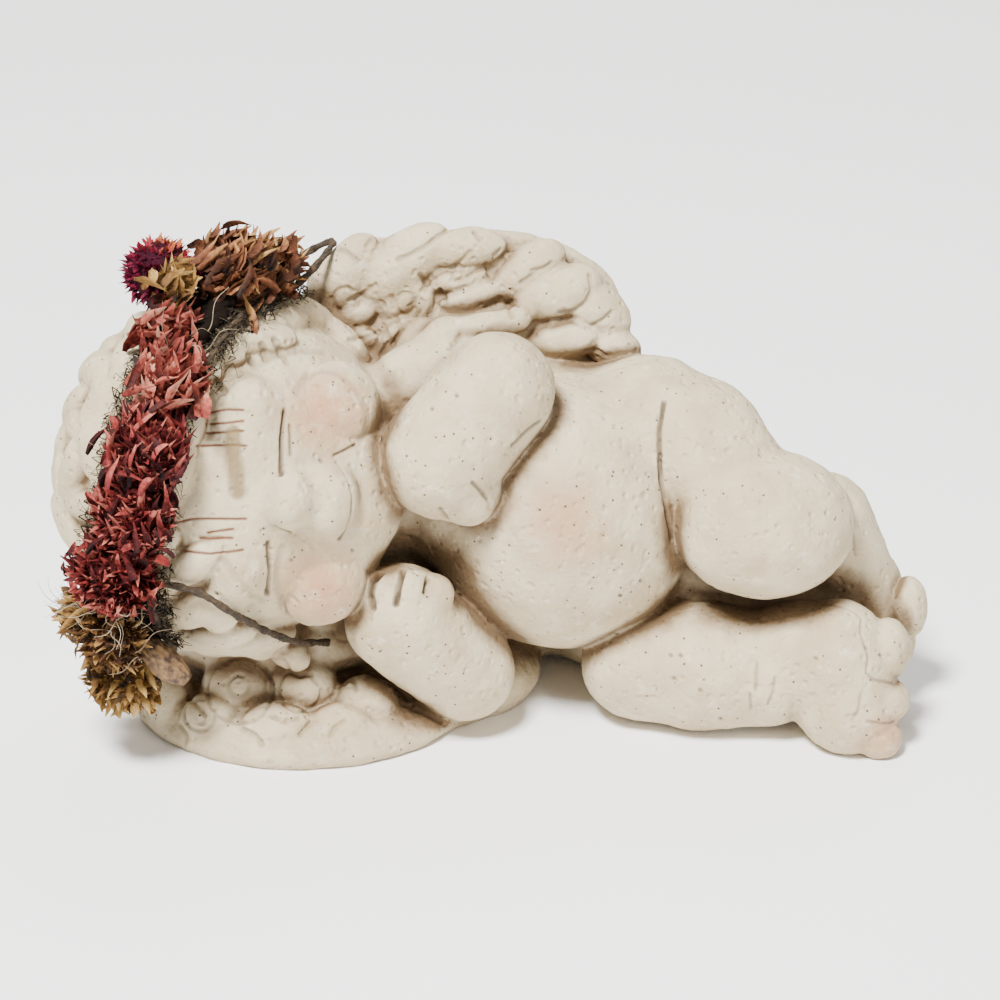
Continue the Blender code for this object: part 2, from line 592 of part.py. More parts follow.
def build():
    """Models every piece and sets the whole at the origin, in metres."""
    for thing in list(bpy.data.objects):
        bpy.data.objects.remove(thing)
    whole = bpy.data.collections.new("sleeping cherub figurine")
    cutters = bpy.data.collections.new("cutters")
    bpy.context.scene.collection.children.link(whole)
    bpy.context.scene.collection.children.link(cutters)

    clay = figure_clay()
    plaster = material("plaster", 0.72, 0.67, 0.57, 0.75)
    vine_bark = material("vine_bark", 0.13, 0.08, 0.05, 0.85)
    petals = {
        "red": material("red_bract", 0.42, 0.09, 0.07, 0.80),
        "brown": material("brown_bract", 0.33, 0.14, 0.08, 0.80),
        "tan": material("tan_bract", 0.42, 0.28, 0.12, 0.80),
        "magenta": material("magenta_petal", 0.28, 0.02, 0.08, 0.80),
    }

    figure = cast_figure(clay, cutters)
    figure.data.materials.append(plaster)
    pieces = [figure]

    route = vine_route(clay)
    tail = tail_route(clay)
    vine = tube("wreath_vine", route, VINE, closed=True)
    loose_end = tube("vine_tail", tail, VINE, closed=False)
    for stem in (vine, loose_end):
        stem.data.materials.append(vine_bark)
        pieces.append(stem)

    solids = clay + [Roll(start, end, VINE) for start, end in zip(route, np.roll(route, -1, axis=0))]
    solids += [Roll(start, end, VINE) for start, end in zip(tail, tail[1:])]
    middles = [head_middle(turn, across, high, clay) for _, turn, across, high, _, _ in FLOWER_HEADS]
    for own, (name, turn, _, _, half_sizes, colour) in enumerate(FLOWER_HEADS):
        others = [(middles[i], FLOWER_HEADS[i][4]) for i in range(len(middles)) if i != own]
        head = flower_head(name, middles[own], turn, half_sizes, others, solids)
        head.data.materials.append(petals[colour])
        pieces.append(head)

    corners = np.array([vert.co[:] for piece in pieces for vert in piece.data.vertices])
    low, high = corners.min(0), corners.max(0)
    settle = Matrix.Translation((-(low[0] + high[0]) / 2, -(low[1] + high[1]) / 2, 0.0))
    to_metres = Matrix.Scale(PART, 4) @ settle
    for piece in pieces:
        piece.data.transform(to_metres)
        for holder in list(piece.users_collection):
            holder.objects.unlink(piece)
        whole.objects.link(piece)


build()
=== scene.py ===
import math
import random

import bmesh
import bpy
import numpy as np
from mathutils import Matrix, Vector, noise


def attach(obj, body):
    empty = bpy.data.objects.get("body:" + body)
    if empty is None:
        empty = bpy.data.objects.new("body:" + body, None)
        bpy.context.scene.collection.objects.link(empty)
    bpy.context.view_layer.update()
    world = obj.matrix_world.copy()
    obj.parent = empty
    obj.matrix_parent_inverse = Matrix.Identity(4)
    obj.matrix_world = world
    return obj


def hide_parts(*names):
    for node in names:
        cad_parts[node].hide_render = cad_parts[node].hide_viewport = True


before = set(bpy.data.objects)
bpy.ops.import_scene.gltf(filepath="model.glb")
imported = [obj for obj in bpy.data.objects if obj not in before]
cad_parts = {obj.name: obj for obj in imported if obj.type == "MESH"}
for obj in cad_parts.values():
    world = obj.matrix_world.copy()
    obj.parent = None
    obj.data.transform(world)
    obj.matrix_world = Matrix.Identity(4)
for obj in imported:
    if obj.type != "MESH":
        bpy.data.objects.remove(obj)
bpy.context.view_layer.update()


# The cherub is one solid casting: plaster poured in a rubber mould and rubbed flat where it
# stands. It was sealed, washed with thin brown that stayed in the creases, and blushed by
# hand. Deeper recesses get painted shade over the wash. It is modelled here as lumps of clay
# run together, in millimetres.
MM = 0.001
SETTLED = np.array((-1.487, 5.154, 0.0))     # from the clay's own middle to the part's
PITCH = 0.62           # how finely the skin follows the clay
HEAD = np.array((-39.0, -2.0, 41.0))
SKULL = 26.0
MIDLINE = 0.8
GOLDEN_TURN = math.radians(137.508)           # from one lock or bract to the next in a spiral
TO_THE_FRONT = np.array((0.0, -0.906, 0.423))


def unit(vector):
    """The vector at length one."""
    vector = np.asarray(vector, float)
    return vector / np.linalg.norm(vector)


FACE_WAY = unit((0.38, -0.886, 0.253))
CROWN_WAY = unit((-0.918, -0.337, 0.197))
CROWN_WAY = unit(CROWN_WAY - FACE_WAY * (CROWN_WAY @ FACE_WAY))
SIDE_WAY = np.cross(FACE_WAY, CROWN_WAY)


class Lump:
    """An ellipsoid of clay. Its long axis can be turned along a direction."""

    def __init__(self, centre, radii, along=None, facing=None, blend=1.0):
        self.centre = np.asarray(centre, float)
        self.radii = np.asarray(radii, float)
        self.blend = blend
        self.axes = np.eye(3)
        if along is not None:
            x = unit(along)
            z = np.asarray((0, 0, 1) if facing is None else facing, float)
            z = unit(z - x * (z @ x))
            self.axes = np.array([x, np.cross(z, x), z])
        self.reach = float(self.radii.max()) + 4.0

    def distance(self, points):
        local = (points - self.centre) @ self.axes.T
        near = np.linalg.norm(local / self.radii, axis=1)
        steep = np.linalg.norm(local / self.radii ** 2, axis=1)
        return near * (near - 1.0) / np.maximum(steep, 1e-9)

    def shape(self, bm):
        turn = Matrix(self.axes.T.tolist()).to_4x4()
        size = Matrix.Diagonal((*self.radii, 1.0))
        place = Matrix.Translation(self.centre.tolist())
        bmesh.ops.create_icosphere(bm, subdivisions=3, radius=1.0, matrix=place @ turn @ size)


class Roll:
    """A roll of clay between two balls, each with its own radius."""

    def __init__(self, start, end, start_radius, end_radius=None, blend=1.0):
        self.start = np.asarray(start, float)
        self.end = np.asarray(end, float)
        self.radii = (start_radius, start_radius if end_radius is None else end_radius)
        self.blend = blend
        self.centre = (self.start + self.end) / 2
        self.reach = float(np.linalg.norm(self.end - self.start)) / 2 + max(self.radii) + 4.0

    def distance(self, points):
        span = self.end - self.start
        share = np.clip(((points - self.start) @ span) / max(span @ span, 1e-9), 0, 1)
        nearest = self.start + share[:, None] * span
        radius = self.radii[0] + share * (self.radii[1] - self.radii[0])
        return np.linalg.norm(points - nearest, axis=1) - radius

    def shape(self, bm):
        span = Vector((self.end - self.start).tolist())
        steps = max(2, int(span.length / (0.5 * min(self.radii))) + 1)
        for i in range(steps + 1):
            share = i / steps
            ball = Matrix.Translation((self.start + share * (self.end - self.start)).tolist())
            radius = self.radii[0] + share * (self.radii[1] - self.radii[0])
            bmesh.ops.create_icosphere(bm, subdivisions=2, radius=radius, matrix=ball)


def joined(first, second, blend):
    """The distance to two shapes run together, with a fillet of about the blend."""
    near = np.maximum(blend - np.abs(first - second), 0.0) / blend
    return np.minimum(first, second) - near * near * blend / 4


def field(points, clay):
    """The distance from each point to the modelled surface, below zero inside it."""
    found = np.full(len(points), 6.0)
    for piece in clay:
        near = np.flatnonzero(((points - piece.centre) ** 2).sum(1) < piece.reach ** 2)
        if len(near):
            found[near] = joined(found[near], piece.distance(points[near]), piece.blend)
    return found


def on_head(aside, up, ahead):
    """A place on the head, from its middle, in the head's own directions."""
    return HEAD + (aside + MIDLINE) * SIDE_WAY + up * CROWN_WAY + ahead * FACE_WAY


def face():
    """Round cheeks, a button nose, a full lip, a soft chin and lids shut in sleep."""
    clay = [
        Lump(HEAD, (SKULL,) * 3),
        Lump(on_head(0, -12, 12), (17, 9, 12.5), SIDE_WAY, FACE_WAY, blend=4),
        Lump(on_head(0, -15, 16.5), (8.5, 6.5, 6.5), SIDE_WAY, FACE_WAY, blend=3),
        Lump(on_head(0, -6.2, 24), (5.8, 5.4, 5), SIDE_WAY, FACE_WAY, blend=1),
        Lump(on_head(0, 0.6, 25.8), (4.5, 3.9, 4.6), SIDE_WAY, FACE_WAY, blend=1.8),
    ]
    for side in (-1, 1):
        clay += [
            Lump(on_head(side * 13.2, -9, 17.2), (7.3, 7.3, 7.3), blend=0.3),
            Lump(on_head(side * 9.2, 5.6, 20.2), (8.6, 5.2, 5), SIDE_WAY, FACE_WAY, blend=1.6),
        ]
    return clay


HAIR_LOCKS = 190
LOCK = (6.4, 3.2, 2.8)
HAIRLINE = 0.52
BARE_BROW = np.array((-44.6, -27.2, 45.0))   # no lock lies here, beside the lower brow


def hair():
    """Locks laid evenly over the skull, circling the crown and falling to the neck and brow."""
    chance = random.Random(7)
    locks = []
    for i in range(HAIR_LOCKS):
        up = 1 - 2 * (i + 0.5) / HAIR_LOCKS
        turn = i * GOLDEN_TURN + chance.uniform(-0.1, 0.1)
        level = math.cos(turn) * FACE_WAY + math.sin(turn) * SIDE_WAY
        out = up * CROWN_WAY + math.sqrt(1 - up * up) * level
        aside = abs(out @ SIDE_WAY)
        bald = up + 1.2 * max(aside - 0.4, 0.0) < HAIRLINE and out @ FACE_WAY > 0.15
        bald = bald or np.linalg.norm(HEAD + SKULL * out - BARE_BROW) < 2.0
        if bald or up < -0.7:
            continue
        swirl = math.radians(chance.uniform(50, 100) if up > 0.2 else chance.uniform(-50, 50))
        meridian = unit(np.cross(np.cross(out, CROWN_WAY), out))
        along = math.cos(swirl) * meridian + math.sin(swirl) * np.cross(out, meridian)
        size = np.array(LOCK) * chance.uniform(0.8, 1.2)
        locks.append(Lump(HEAD + (SKULL + 0.1) * out, size, along, out, blend=0.6))
    return locks


def body():
    """Chest, round belly, back and seat, with a rear that reaches the table."""
    lumps = (((-3, 5, 38), (17, 15, 16), 4), ((12.3, 1.5, 32.3), (21.5, 20.5, 22), 4),
             ((6, 12, 36), (20, 13, 20), 4), ((24, 6, 42), (12, 13, 13.5), 4),
             ((32, 12, 33), (15, 14, 17), 3), ((26, 14, 13), (19, 12, 16), 3),
             ((-2, 15, 14), (22, 11, 16), 4), ((-18, 3, 38), (11, 12, 14), 3),
             ((-19, 7, 22), (10, 10, 13), 3), ((-6, 3, 52), (13, 9, 9), 3))
    return [Lump(place, size, blend=blend) for place, size, blend in lumps]


def arms():
    """The upper arm folded on the chest, and the lower one with its fist under the chin."""
    clay = [
        Roll((2, -7, 56.9), (-6.7, -13, 48.2), 9, 9.4, blend=1.2),
        Lump((-2.4, -15.5, 42.4), (4.4, 4.4, 4.2), blend=1.5),
        Lump((1, -14.5, 43.6), (1.8, 2.4, 3.2), blend=0.6),
        Roll((-13.1, -15, 21.7), (-3.3, -11, 10.6), 8.7, 8.2, blend=1.2),
    ]
    knuckle = np.array((-12.8, -17, 20))
    for tip in ((-17.6, -18, 28), (-11.4, -19, 28.6), (-7.2, -17, 27.2)):
        tip = np.array(tip)
        clay.append(Roll(tip, tip + 0.6 * (knuckle - tip), 2.5, 4, blend=0.5))
    clay.append(Lump((-12.6, -17.4, 26.4), (6.8, 3.5, 4.6), blend=2.5))
    return clay


def legs():
    """The upper leg drawn up to its round knee, the lower one along the table."""
    clay = [
        Roll((27, 5, 44), (33.2, 1, 43.5), 12.4, 11, blend=2.5),
        Roll((33.2, 1, 43.5), (40.1, -5, 37.3), 11, 9.8, blend=1.2),
        Lump((43.6, -8, 34.6), (14.2, 12.5, 11.6), blend=1),
        Roll((53.6, 2, 29.6), (61, 3, 19.6), 8.6, 5.4, blend=1),
        Roll((34, 9, 20), (56, 6, 14), 12, 9, blend=2),
        Lump((63, 3, 14.5), (4.6, 6, 8), blend=1.5),
        Lump((68, -0.5, 16.4), (2.9, 4.6, 5), blend=0.6),
        Lump((66.6, -1, 10.2), (2.6, 4.2, 3.6), blend=0.6),
        Roll((24.8, -6.5, 9.4), (34.5, -8.5, 9.8), 9.2, 9.7, blend=1.2),
        Roll((34.5, -8.5, 9.8), (45, -10, 10.2), 9.7, 9.2, blend=2),
        Lump((55.6, -12, 11), (9.4, 9.4, 11.6), blend=0.8),
        Lump((49.5, -10.5, 13.6), (8, 7.6, 8.2), blend=2),
        Lump((57.5, -16, 6), (7.6, 7.5, 7), blend=2),
        Roll((26, -4, 9), (30, 10, 14), 8, 12, blend=3),
    ]
    toes = (((63.3, -13, 15.2), (3.6, 4.6, 5)),
            ((63, -16.2, 7.9), (3.8, 4.4, 3.3)),
            ((61.8, -18.6, 2.6), (3.9, 4.2, 3.4)))
    return clay + [Lump(place, size, blend=0.5) for place, size in toes]


def feather(root, tip, half_width, half_depth, blend=0.6):
    """A rounded feather: a lump laid from its root to its tip."""
    root, tip = np.asarray(root, float), np.asarray(tip, float)
    half_length = float(np.linalg.norm(tip - root)) / 2 + 0.8 * half_width
    size = (half_length, half_width, half_depth)
    return Lump((root + tip) / 2, size, tip - root, TO_THE_FRONT, blend)


def upper_wing():
    """The wing that stands behind the head and shoulder, with a scalloped edge."""
    outer = (((-25.7, 15, 62), (-19.5, 16, 70.6), 4.2), ((-17.2, 15, 65.6), (-8.8, 16, 72.2), 4.6),
             ((-6.9, 16, 70.6), (1, 16, 71.6), 3.4), ((3.3, 15, 65.5), (10, 16, 69.8), 3.9),
             ((7.6, 13, 63.4), (15.4, 14, 66.2), 4), ((15, 14, 64), (20.4, 14, 59.8), 4),
             ((18, 13, 56.4), (22.4, 13, 55.4), 3.2), ((9, 11, 57.3), (16.6, 12, 57.8), 3.1))
    inner = (((-24, 13, 60), (-19, 13, 62), 2.6), ((-23, 12, 56.6), (-18, 11, 58), 2),
             ((-15, 13.6, 62), (-11, 13.6, 65.6), 2.6), ((-9.6, 12.6, 61), (-9, 13.4, 65), 1.6),
             ((-7, 13.4, 66.4), (-1, 14, 67.6), 2), ((-5.6, 12.6, 63.2), (1.4, 13.2, 65.4), 2.1),
             ((-16.6, 11, 56), (-12.4, 12.4, 60.4), 1.6), ((-13, 10.4, 56.2), (-9, 11.6, 60.2), 1.6))
    clay = [
        Lump((-1, 21, 59), (23, 6, 13.5), blend=1),
        Lump((-17, 20, 60), (12, 6, 11.5), blend=2),
        Lump((-3, 15, 52), (20, 7, 12), blend=3),
    ]
    clay += [feather(root, tip, width, 3.4) for root, tip, width in outer]
    clay += [feather(root, tip, width, 1.8, blend=0.5) for root, tip, width in inner]
    clay.append(Roll((-15, 6, 53), (-6, 7, 60), 2.6, 2.8, blend=1.2))
    clay.append(Roll((-6, 7, 60), (5.5, 10, 61.8), 2.8, 2, blend=1.2))
    return clay


def lower_wing():
    """The wing spread on the table under the head, with curled feathers on it."""
    lumps = (((-29, -1, 1.6), (27.5, 24.5, 6), 1), ((-8, 4, 3), (17, 15, 8), 3),
             ((-38.7, -10.6, 6.8), (6.2, 5.2, 5.8), 0.6), ((-28.8, -11.6, 7.2), (6, 4.8, 5.4), 0.6),
             ((-18.8, -13, 5.2), (5.4, 4.2, 5), 0.6), ((-32.6, -18.6, 3.4), (6.2, 4.6, 4.8), 0.6),
             ((-22.6, -17.6, 3), (5.6, 4.4, 4.6), 0.6), ((-43, -15.6, 3.2), (5.2, 4.8, 5), 0.6),
             ((-49.6, -10, 4), (4, 5.6, 5), 0.6), ((-33, 2, 13), (21, 14, 9), 1.5),
             ((-14, 0, 13), (9, 9, 8), 2))
    curls = (((-45.6, -15.4, 25), 3.4), ((-41, -16.2, 22), 3.4), ((-36, -16, 18.6), 3.2),
             ((-30.6, -14.6, 15.4), 2.8), ((-48.5, -10, 18.6), 3.4))
    clay = [Lump(place, size, blend=blend) for place, size, blend in lumps]
    for place, size in curls:
        clay.append(Lump(place, (1.3 * size, size, 0.9 * size), (1, -0.2, -0.6), blend=0.5))
    return clay


def on_surface(place, toward, clay, height=0.0):
    """Where the clay, or a skin that high above it, is met from outside along a direction."""
    toward = unit(toward)
    reach = np.linspace(12.0, -12.0, 241)
    line = np.asarray(place, float) + reach[:, None] * toward
    met = np.flatnonzero(field(line, clay) <= height)
    return line[met[0]] if len(met) else np.asarray(place, float)


# Lines and pits are placed where the photograph shows them, in its pixels. They fall on the
# clay along the view of its camera, which stands in front and looks a little down.
VIEW_DISTANCE = 600.0
VIEW_DOWN = math.radians(25.0)
VIEW_TARGET = np.array((0.0, 0.0, 36.0))
VIEW_DEPTH = 60.0                             # before and behind the target, where clay may be
TARGET_PIXEL = np.array((484.0, 494.0))
PIXELS_PER_MM = 6.336                         # at the target
LOOKING = np.array((0.0, math.cos(VIEW_DOWN), -math.sin(VIEW_DOWN)))
RIGHT_AND_UP = np.array(((1.0, 0.0, 0.0), (0.0, math.sin(VIEW_DOWN), math.cos(VIEW_DOWN))))


def seen(pixels, clay):
    """The places on the clay that show at some pixels of the photograph."""
    aside = (np.atleast_2d(pixels) - TARGET_PIXEL) * (1, -1) / (PIXELS_PER_MM * VIEW_DISTANCE)
    ways = LOOKING + aside @ RIGHT_AND_UP
    reach = np.linspace(VIEW_DISTANCE - VIEW_DEPTH, VIEW_DISTANCE + VIEW_DEPTH, 241)
    lines = VIEW_TARGET - VIEW_DISTANCE * LOOKING + reach[None, :, None] * ways[:, None, :]
    heights = field(lines.reshape(-1, 3), clay).reshape(len(ways), -1)
    met = np.maximum((heights <= 0).argmax(1), 1)
    rows = np.arange(len(ways))
    before, after = heights[rows, met - 1], heights[rows, met]
    share = np.clip(before / np.maximum(before - after, 1e-9), 0, 1)
    return lines[rows, met - 1] + share[:, None] * (lines[rows, met] - lines[rows, met - 1])


def drawn(line, clay, step=5.0):
    """A line of pixels laid on the clay, in short steps."""
    line = np.asarray(line, float)
    lengths = np.concatenate(([0.0], np.cumsum(np.linalg.norm(np.diff(line, axis=0), axis=1))))
    marks = np.linspace(0.0, lengths[-1], max(3, int(lengths[-1] / step) + 1))
    spots = [np.interp(marks, lengths, line[:, axis]) for axis in (0, 1)]
    return seen(np.stack(spots, axis=1), clay)


def curl(centre, radius, turns, clay):
    """A spiral drawn on the clay from its rim inwards, as a curled feather is."""
    angles = np.arange(0.0, 2 * math.pi * turns, 0.25)
    tightening = 0.75 / (2 * math.pi * turns) if turns > 1 else 0.0
    reach = radius * (1 - tightening * angles)
    spots = np.array(centre) + np.stack((reach * np.cos(angles), reach * np.sin(angles)), axis=1)
    return drawn(spots, clay)


def nearness(points, lines, half_width):
    """One on a line and nothing from its half width out, rounded like a groove between."""
    found = np.full(len(points), half_width)
    for line in lines:
        middle = line.mean(0)
        reach = np.linalg.norm(line - middle, axis=1).max() + half_width
        by_line = np.flatnonzero(((points - middle) ** 2).sum(1) < reach ** 2)
        if not len(by_line):
            continue
        own = points[by_line]
        closest = found[by_line]
        for start, end in zip(line, line[1:]):
            span = end - start
            share = np.clip(((own - start) @ span) / max(span @ span, 1e-9), 0, 1)
            closest = np.minimum(closest, np.linalg.norm(own - start - share[:, None] * span, axis=1))
        found[by_line] = closest
    return (1 - (found / half_width) ** 2) ** 1.5


BROW_STROKES = (
    ((205, 413), (225, 409), (243, 410)), ((206, 424), (225, 423), (243, 421)), ((207, 433), (243, 431)),
    ((197, 446), (222, 445), (246, 446)), ((180, 522), (192, 519), (246, 519)), ((208, 533), (233, 529)),
    ((200, 538), (232, 538)), ((185, 551), (210, 554), (230, 552), (243, 550)),
)
BROW_WEDGE = ((232, 434), (233, 455), (236, 475), (238, 492))
EYE_SLITS = (
    ((285, 410), (283, 425), (282, 440), (281, 475)), ((268, 543), (270, 570), (267, 595)),
)
FACE_LINES = (
    ((290, 425), (291, 455)), ((275, 526), (282, 530), (291, 533)),
    ((337, 462), (344, 471), (349, 482), (353, 495), (353, 507), (350, 520), (345, 531), (339, 539)),
    ((335, 455), (345, 450), (356, 444)),
)
FACE_RIMS = (
    ((297, 392), (304, 379), (318, 371), (335, 372), (350, 382), (361, 396), (367, 413), (366, 430),
     (358, 444)),
    ((283, 548), (278, 565), (277, 585), (282, 605), (293, 618), (310, 624)),
    ((222, 560), (235, 577), (250, 592), (262, 602)), ((255, 366), (275, 356), (300, 351), (325, 353)),
)
FIST_LINES = (
    ((373, 608), (371, 595), (374, 581), (381, 573)), ((396, 604), (399, 585), (403, 570)),
    ((426, 592), (428, 579)),
)
HAND_LINES = (
    ((440, 509), (447, 519)), ((473, 483), (480, 490), (488, 500)), ((540, 421), (525, 433), (512, 445)),
)
GROIN = ((664, 402), (659, 430), (659, 450), (661, 480), (666, 510), (672, 540))
LEG_LINES = (
    ((800, 603), (830, 604), (850, 610), (862, 617), (861, 635), (866, 647), (869, 660), (866, 672),
     (873, 680), (890, 683), (904, 685)), ((852, 720), (858, 712), (861, 695)),
    ((868, 722), (885, 724), (903, 718)), ((750, 694), (751, 711)), ((757, 663), (756, 690)),
    ((775, 678), (773, 693), (768, 705)), ((856, 555), (854, 535), (851, 515)),
)
WING_LINES = (
    ((327, 247), (345, 251), (358, 262)), ((398, 260), (412, 254), (425, 247), (440, 235), (447, 231)),
    ((367, 246), (372, 240)), ((450, 268), (462, 261), (470, 252)), ((458, 280), (472, 274), (486, 264)),
    ((420, 275), (427, 284), (424, 290)), ((392, 297), (393, 308)), ((440, 290), (446, 300), (442, 314)),
    ((507, 305), (513, 318)), ((552, 263), (545, 268), (533, 271)), ((520, 284), (532, 276), (538, 270)),
    ((590, 275), (592, 290), (586, 302), (575, 310), (560, 312)), ((593, 325), (603, 320), (612, 312)),
    ((350, 300), (362, 295), (375, 285)), ((340, 310), (348, 306), (358, 304)),
    ((350, 340), (365, 338), (378, 332)), ((383, 325), (390, 340), (378, 360)),
    ((397, 320), (402, 330), (392, 345)), ((412, 322), (418, 312), (421, 300)),
    ((450, 348), (457, 340), (461, 335)), ((585, 352), (597, 350), (605, 356)), ((480, 240), (474, 232)),
    ((500, 250), (495, 255)), ((290, 672), (300, 676), (310, 674), (318, 684)), ((283, 660), (288, 668)),
    ((345, 684), (352, 677), (356, 690)), ((330, 735), (336, 727), (345, 720)),
    ((190, 700), (200, 708), (205, 715)), ((270, 715), (285, 722), (300, 718)),
    ((180, 725), (186, 735), (184, 745)), ((240, 728), (255, 735), (262, 745)),
    ((385, 682), (400, 690), (408, 700)), ((405, 705), (420, 712), (440, 722)),
    ((300, 735), (306, 728), (312, 722)),
)
HAIR_LINES = (
    ((262, 345), (266, 358)), ((275, 340), (281, 352), (287, 362)), ((248, 355), (252, 362)),
    ((215, 380), (225, 392)),
)
# Place, radius and turns of the curled feathers.
CURLS = (
    ((240, 690), 33, 1.0), ((408, 302), 17, 1.2), ((300, 690), 22, 0.7), ((460, 272), 12, 1.1),
    ((200, 715), 16, 0.8), ((345, 300), 12, 0.9), ((239, 686), 11, 0.8),
)
PITS = (
    (321, 460), (291, 560), (352, 550), (431, 408), (456, 395), (680, 655), (670, 655), (673, 678),
    (880, 655), (350, 680), (660, 455), (760, 455), (640, 580), (866, 648), (815, 658), (720, 718),
    (700, 690), (620, 595),
)


def carving(clay):
    """Lines cut and pressed in the clay, with their half width, depth and share of brown."""
    pits = [(pit, (pit[0] + 1, pit[1] + 1)) for pit in PITS]
    cuts = ((BROW_STROKES, 0.32, 0.22, 0.0), (EYE_SLITS, 0.55, 0.80, 0.95), (FACE_LINES, 0.36, 0.45, 0.75),
            (FACE_RIMS, 0.90, 0.25, 0.30), (FIST_LINES, 0.70, 1.30, 1.0), (HAND_LINES, 0.50, 0.50, 0.7),
            ((GROIN,), 0.50, 0.90, 0.9), (LEG_LINES, 0.40, 0.25, 0.4), (WING_LINES, 0.60, 0.45, 0.40),
            (HAIR_LINES, 0.80, 0.80, 0.50), (pits, 0.40, 0.35, 0.7))
    cuts = [([drawn(line, clay) for line in lines], *sizes) for lines, *sizes in cuts]
    return cuts + [([curl(place, radius, turns, clay) for place, radius, turns in CURLS], 0.55, 0.35, 0.35)]


def linked(name, data, hidden=False):
    """A new object in the scene."""
    made = bpy.data.objects.new(name, data)
    bpy.context.scene.collection.objects.link(made)
    made.hide_render = made.hide_viewport = hidden
    return made


def values_on(mesh, name, values):
    """Gives each vertex of the mesh its value, for a material or a tree to read."""
    layer = mesh.attributes.new(name, "FLOAT", "POINT")
    layer.data.foreach_set("value", np.asarray(values, np.float32))


def plain_mesh(thing):
    """Turns an object's modifiers into plain mesh."""
    bpy.context.view_layer.update()
    evaluated = thing.evaluated_get(bpy.context.evaluated_depsgraph_get())
    mesh = bpy.data.meshes.new_from_object(evaluated)
    thing.modifiers.clear()
    thing.data = mesh


def read_vertices(mesh, what="co"):
    """The places of the mesh's vertices, or their normals, as an array."""
    found = np.empty(len(mesh.vertices) * 3, np.float32)
    mesh.vertices.foreach_get(what, found)
    return found.reshape(-1, 3).astype(float)


def move_vertices(mesh, places):
    """Moves the mesh's vertices to new places."""
    mesh.vertices.foreach_set("co", places.astype(np.float32).ravel())
    mesh.update()


def eased_onto(points, clay, steps):
    """The points moved onto the modelled surface."""
    nudge = 0.03
    for _ in range(steps):
        here = field(points, clay)
        slope = [field(points + nudge * axis, clay) - here for axis in np.eye(3)]
        slope = np.stack(slope, axis=1) / nudge
        move = -(here / np.maximum((slope ** 2).sum(1), 0.25))[:, None] * slope
        size = np.linalg.norm(move, axis=1)
        points = points + move * np.minimum(1.0, PITCH / np.maximum(size, 1e-9))[:, None]
    return points


clay = face() + hair() + body() + arms() + legs() + upper_wing() + lower_wing()
cuts = carving(clay)
rough = bpy.data.meshes.new("cherub")
bm = bmesh.new()
for lump in clay:
    lump.shape(bm)
bm.to_mesh(rough)
bm.free()
cherub = linked("cherub", rough)
one_skin = cherub.modifiers.new("One skin", "REMESH")
one_skin.mode = "VOXEL"
one_skin.voxel_size = PITCH
even = cherub.modifiers.new("Even", "SMOOTH")
even.iterations = 2
plain_mesh(cherub)
move_vertices(cherub.data, eased_onto(read_vertices(cherub.data), clay, 3))

# The skin is made finer twice beside the carved lines, so that their edges stay crisp.
for margin in (0.9, 0.35):
    near_line = np.zeros(len(cherub.data.vertices), bool)
    for lines, half_width, *_ in cuts:
        near_line |= nearness(read_vertices(cherub.data), lines, half_width + margin) > 0
    bm = bmesh.new()
    bm.from_mesh(cherub.data)
    bm.verts.ensure_lookup_table()
    chosen = [edge for edge in bm.edges if all(near_line[corner.index] for corner in edge.verts)]
    bmesh.ops.subdivide_edges(bm, edges=chosen, cuts=1, use_grid_fill=True)
    bmesh.ops.triangulate(bm, faces=[side for side in bm.faces if len(side.verts) > 4])
    bm.to_mesh(cherub.data)
    bm.free()

skin = eased_onto(read_vertices(cherub.data), clay, 3)
move_vertices(cherub.data, skin)
outward_ways = read_vertices(cherub.data, "normal")

# What the paint follows: how far a place lies in a hollow, for the brown wash in the creases
# and painted shade in the deeper recesses, how deep it is carved, the brow strokes, which are
# the first cuts, the wedge between them, and the blushes.
# The wider reaches weigh most, so the deeper recesses, where shade falls, darken most: painted shade.
hollow = np.zeros(len(skin))
for reach, weight in ((0.8, 0.12), (2.2, 0.22), (4.5, 0.3), (8.0, 0.28)):
    open_air = field(skin + reach * outward_ways, clay)
    hollow += weight * np.clip(1.0 - open_air / reach, 0.0, 1.0)
in_lines = [nearness(skin, lines, half_width) for lines, half_width, *_ in cuts]
carved = np.maximum.reduce([amount * brown for amount, (*_, brown) in zip(in_lines, cuts)])
wedge_paint = np.minimum(1.6 * nearness(skin, [drawn(BROW_WEDGE, clay)], 1.7), 1.0)
dip = sum(amount * depth for amount, (_, _, depth, _) in zip(in_lines, cuts)) + 0.30 * wedge_paint
# The clay was worked by hand: it waves by a few tenths of a millimetre all over.
WAVE_LENGTH = 4.5
WAVE_HEIGHT = 0.20
DEEPEST_CUT = 1.3
waves = np.array([noise.fractal(Vector(place / WAVE_LENGTH), 0.8, 2.1, 4) for place in skin])
skin = skin + (WAVE_HEIGHT * waves - np.minimum(dip, DEEPEST_CUT))[:, None] * outward_ways
# Place, radius in millimetres and strength of each blush.
BLUSHES = (((325, 410), 6.6, 1.0), ((322, 592), 6.6, 1.0), ((562, 520), 7.5, 0.7), ((884, 738), 4.6, 0.8),
           ((885, 705), 3.6, 0.35))
blush = np.zeros(len(skin))
for place, radius, strength in BLUSHES:
    away = np.linalg.norm(skin - seen(place, clay), axis=1) / radius
    blush = np.maximum(blush, strength * np.clip(1.25 - away, 0.0, 1.0) ** 0.8)
for name, amount in (("hollow", hollow), ("carved", carved), ("wedge", wedge_paint),
                     ("brow", in_lines[0]), ("blush", blush)):
    values_on(cherub.data, name, amount)
skin[:, 2] = np.maximum(skin[:, 2], 0.0)
cherub.data.polygons.foreach_set("use_smooth", np.ones(len(cherub.data.polygons), bool))
move_vertices(cherub.data, (skin + SETTLED) * MM)
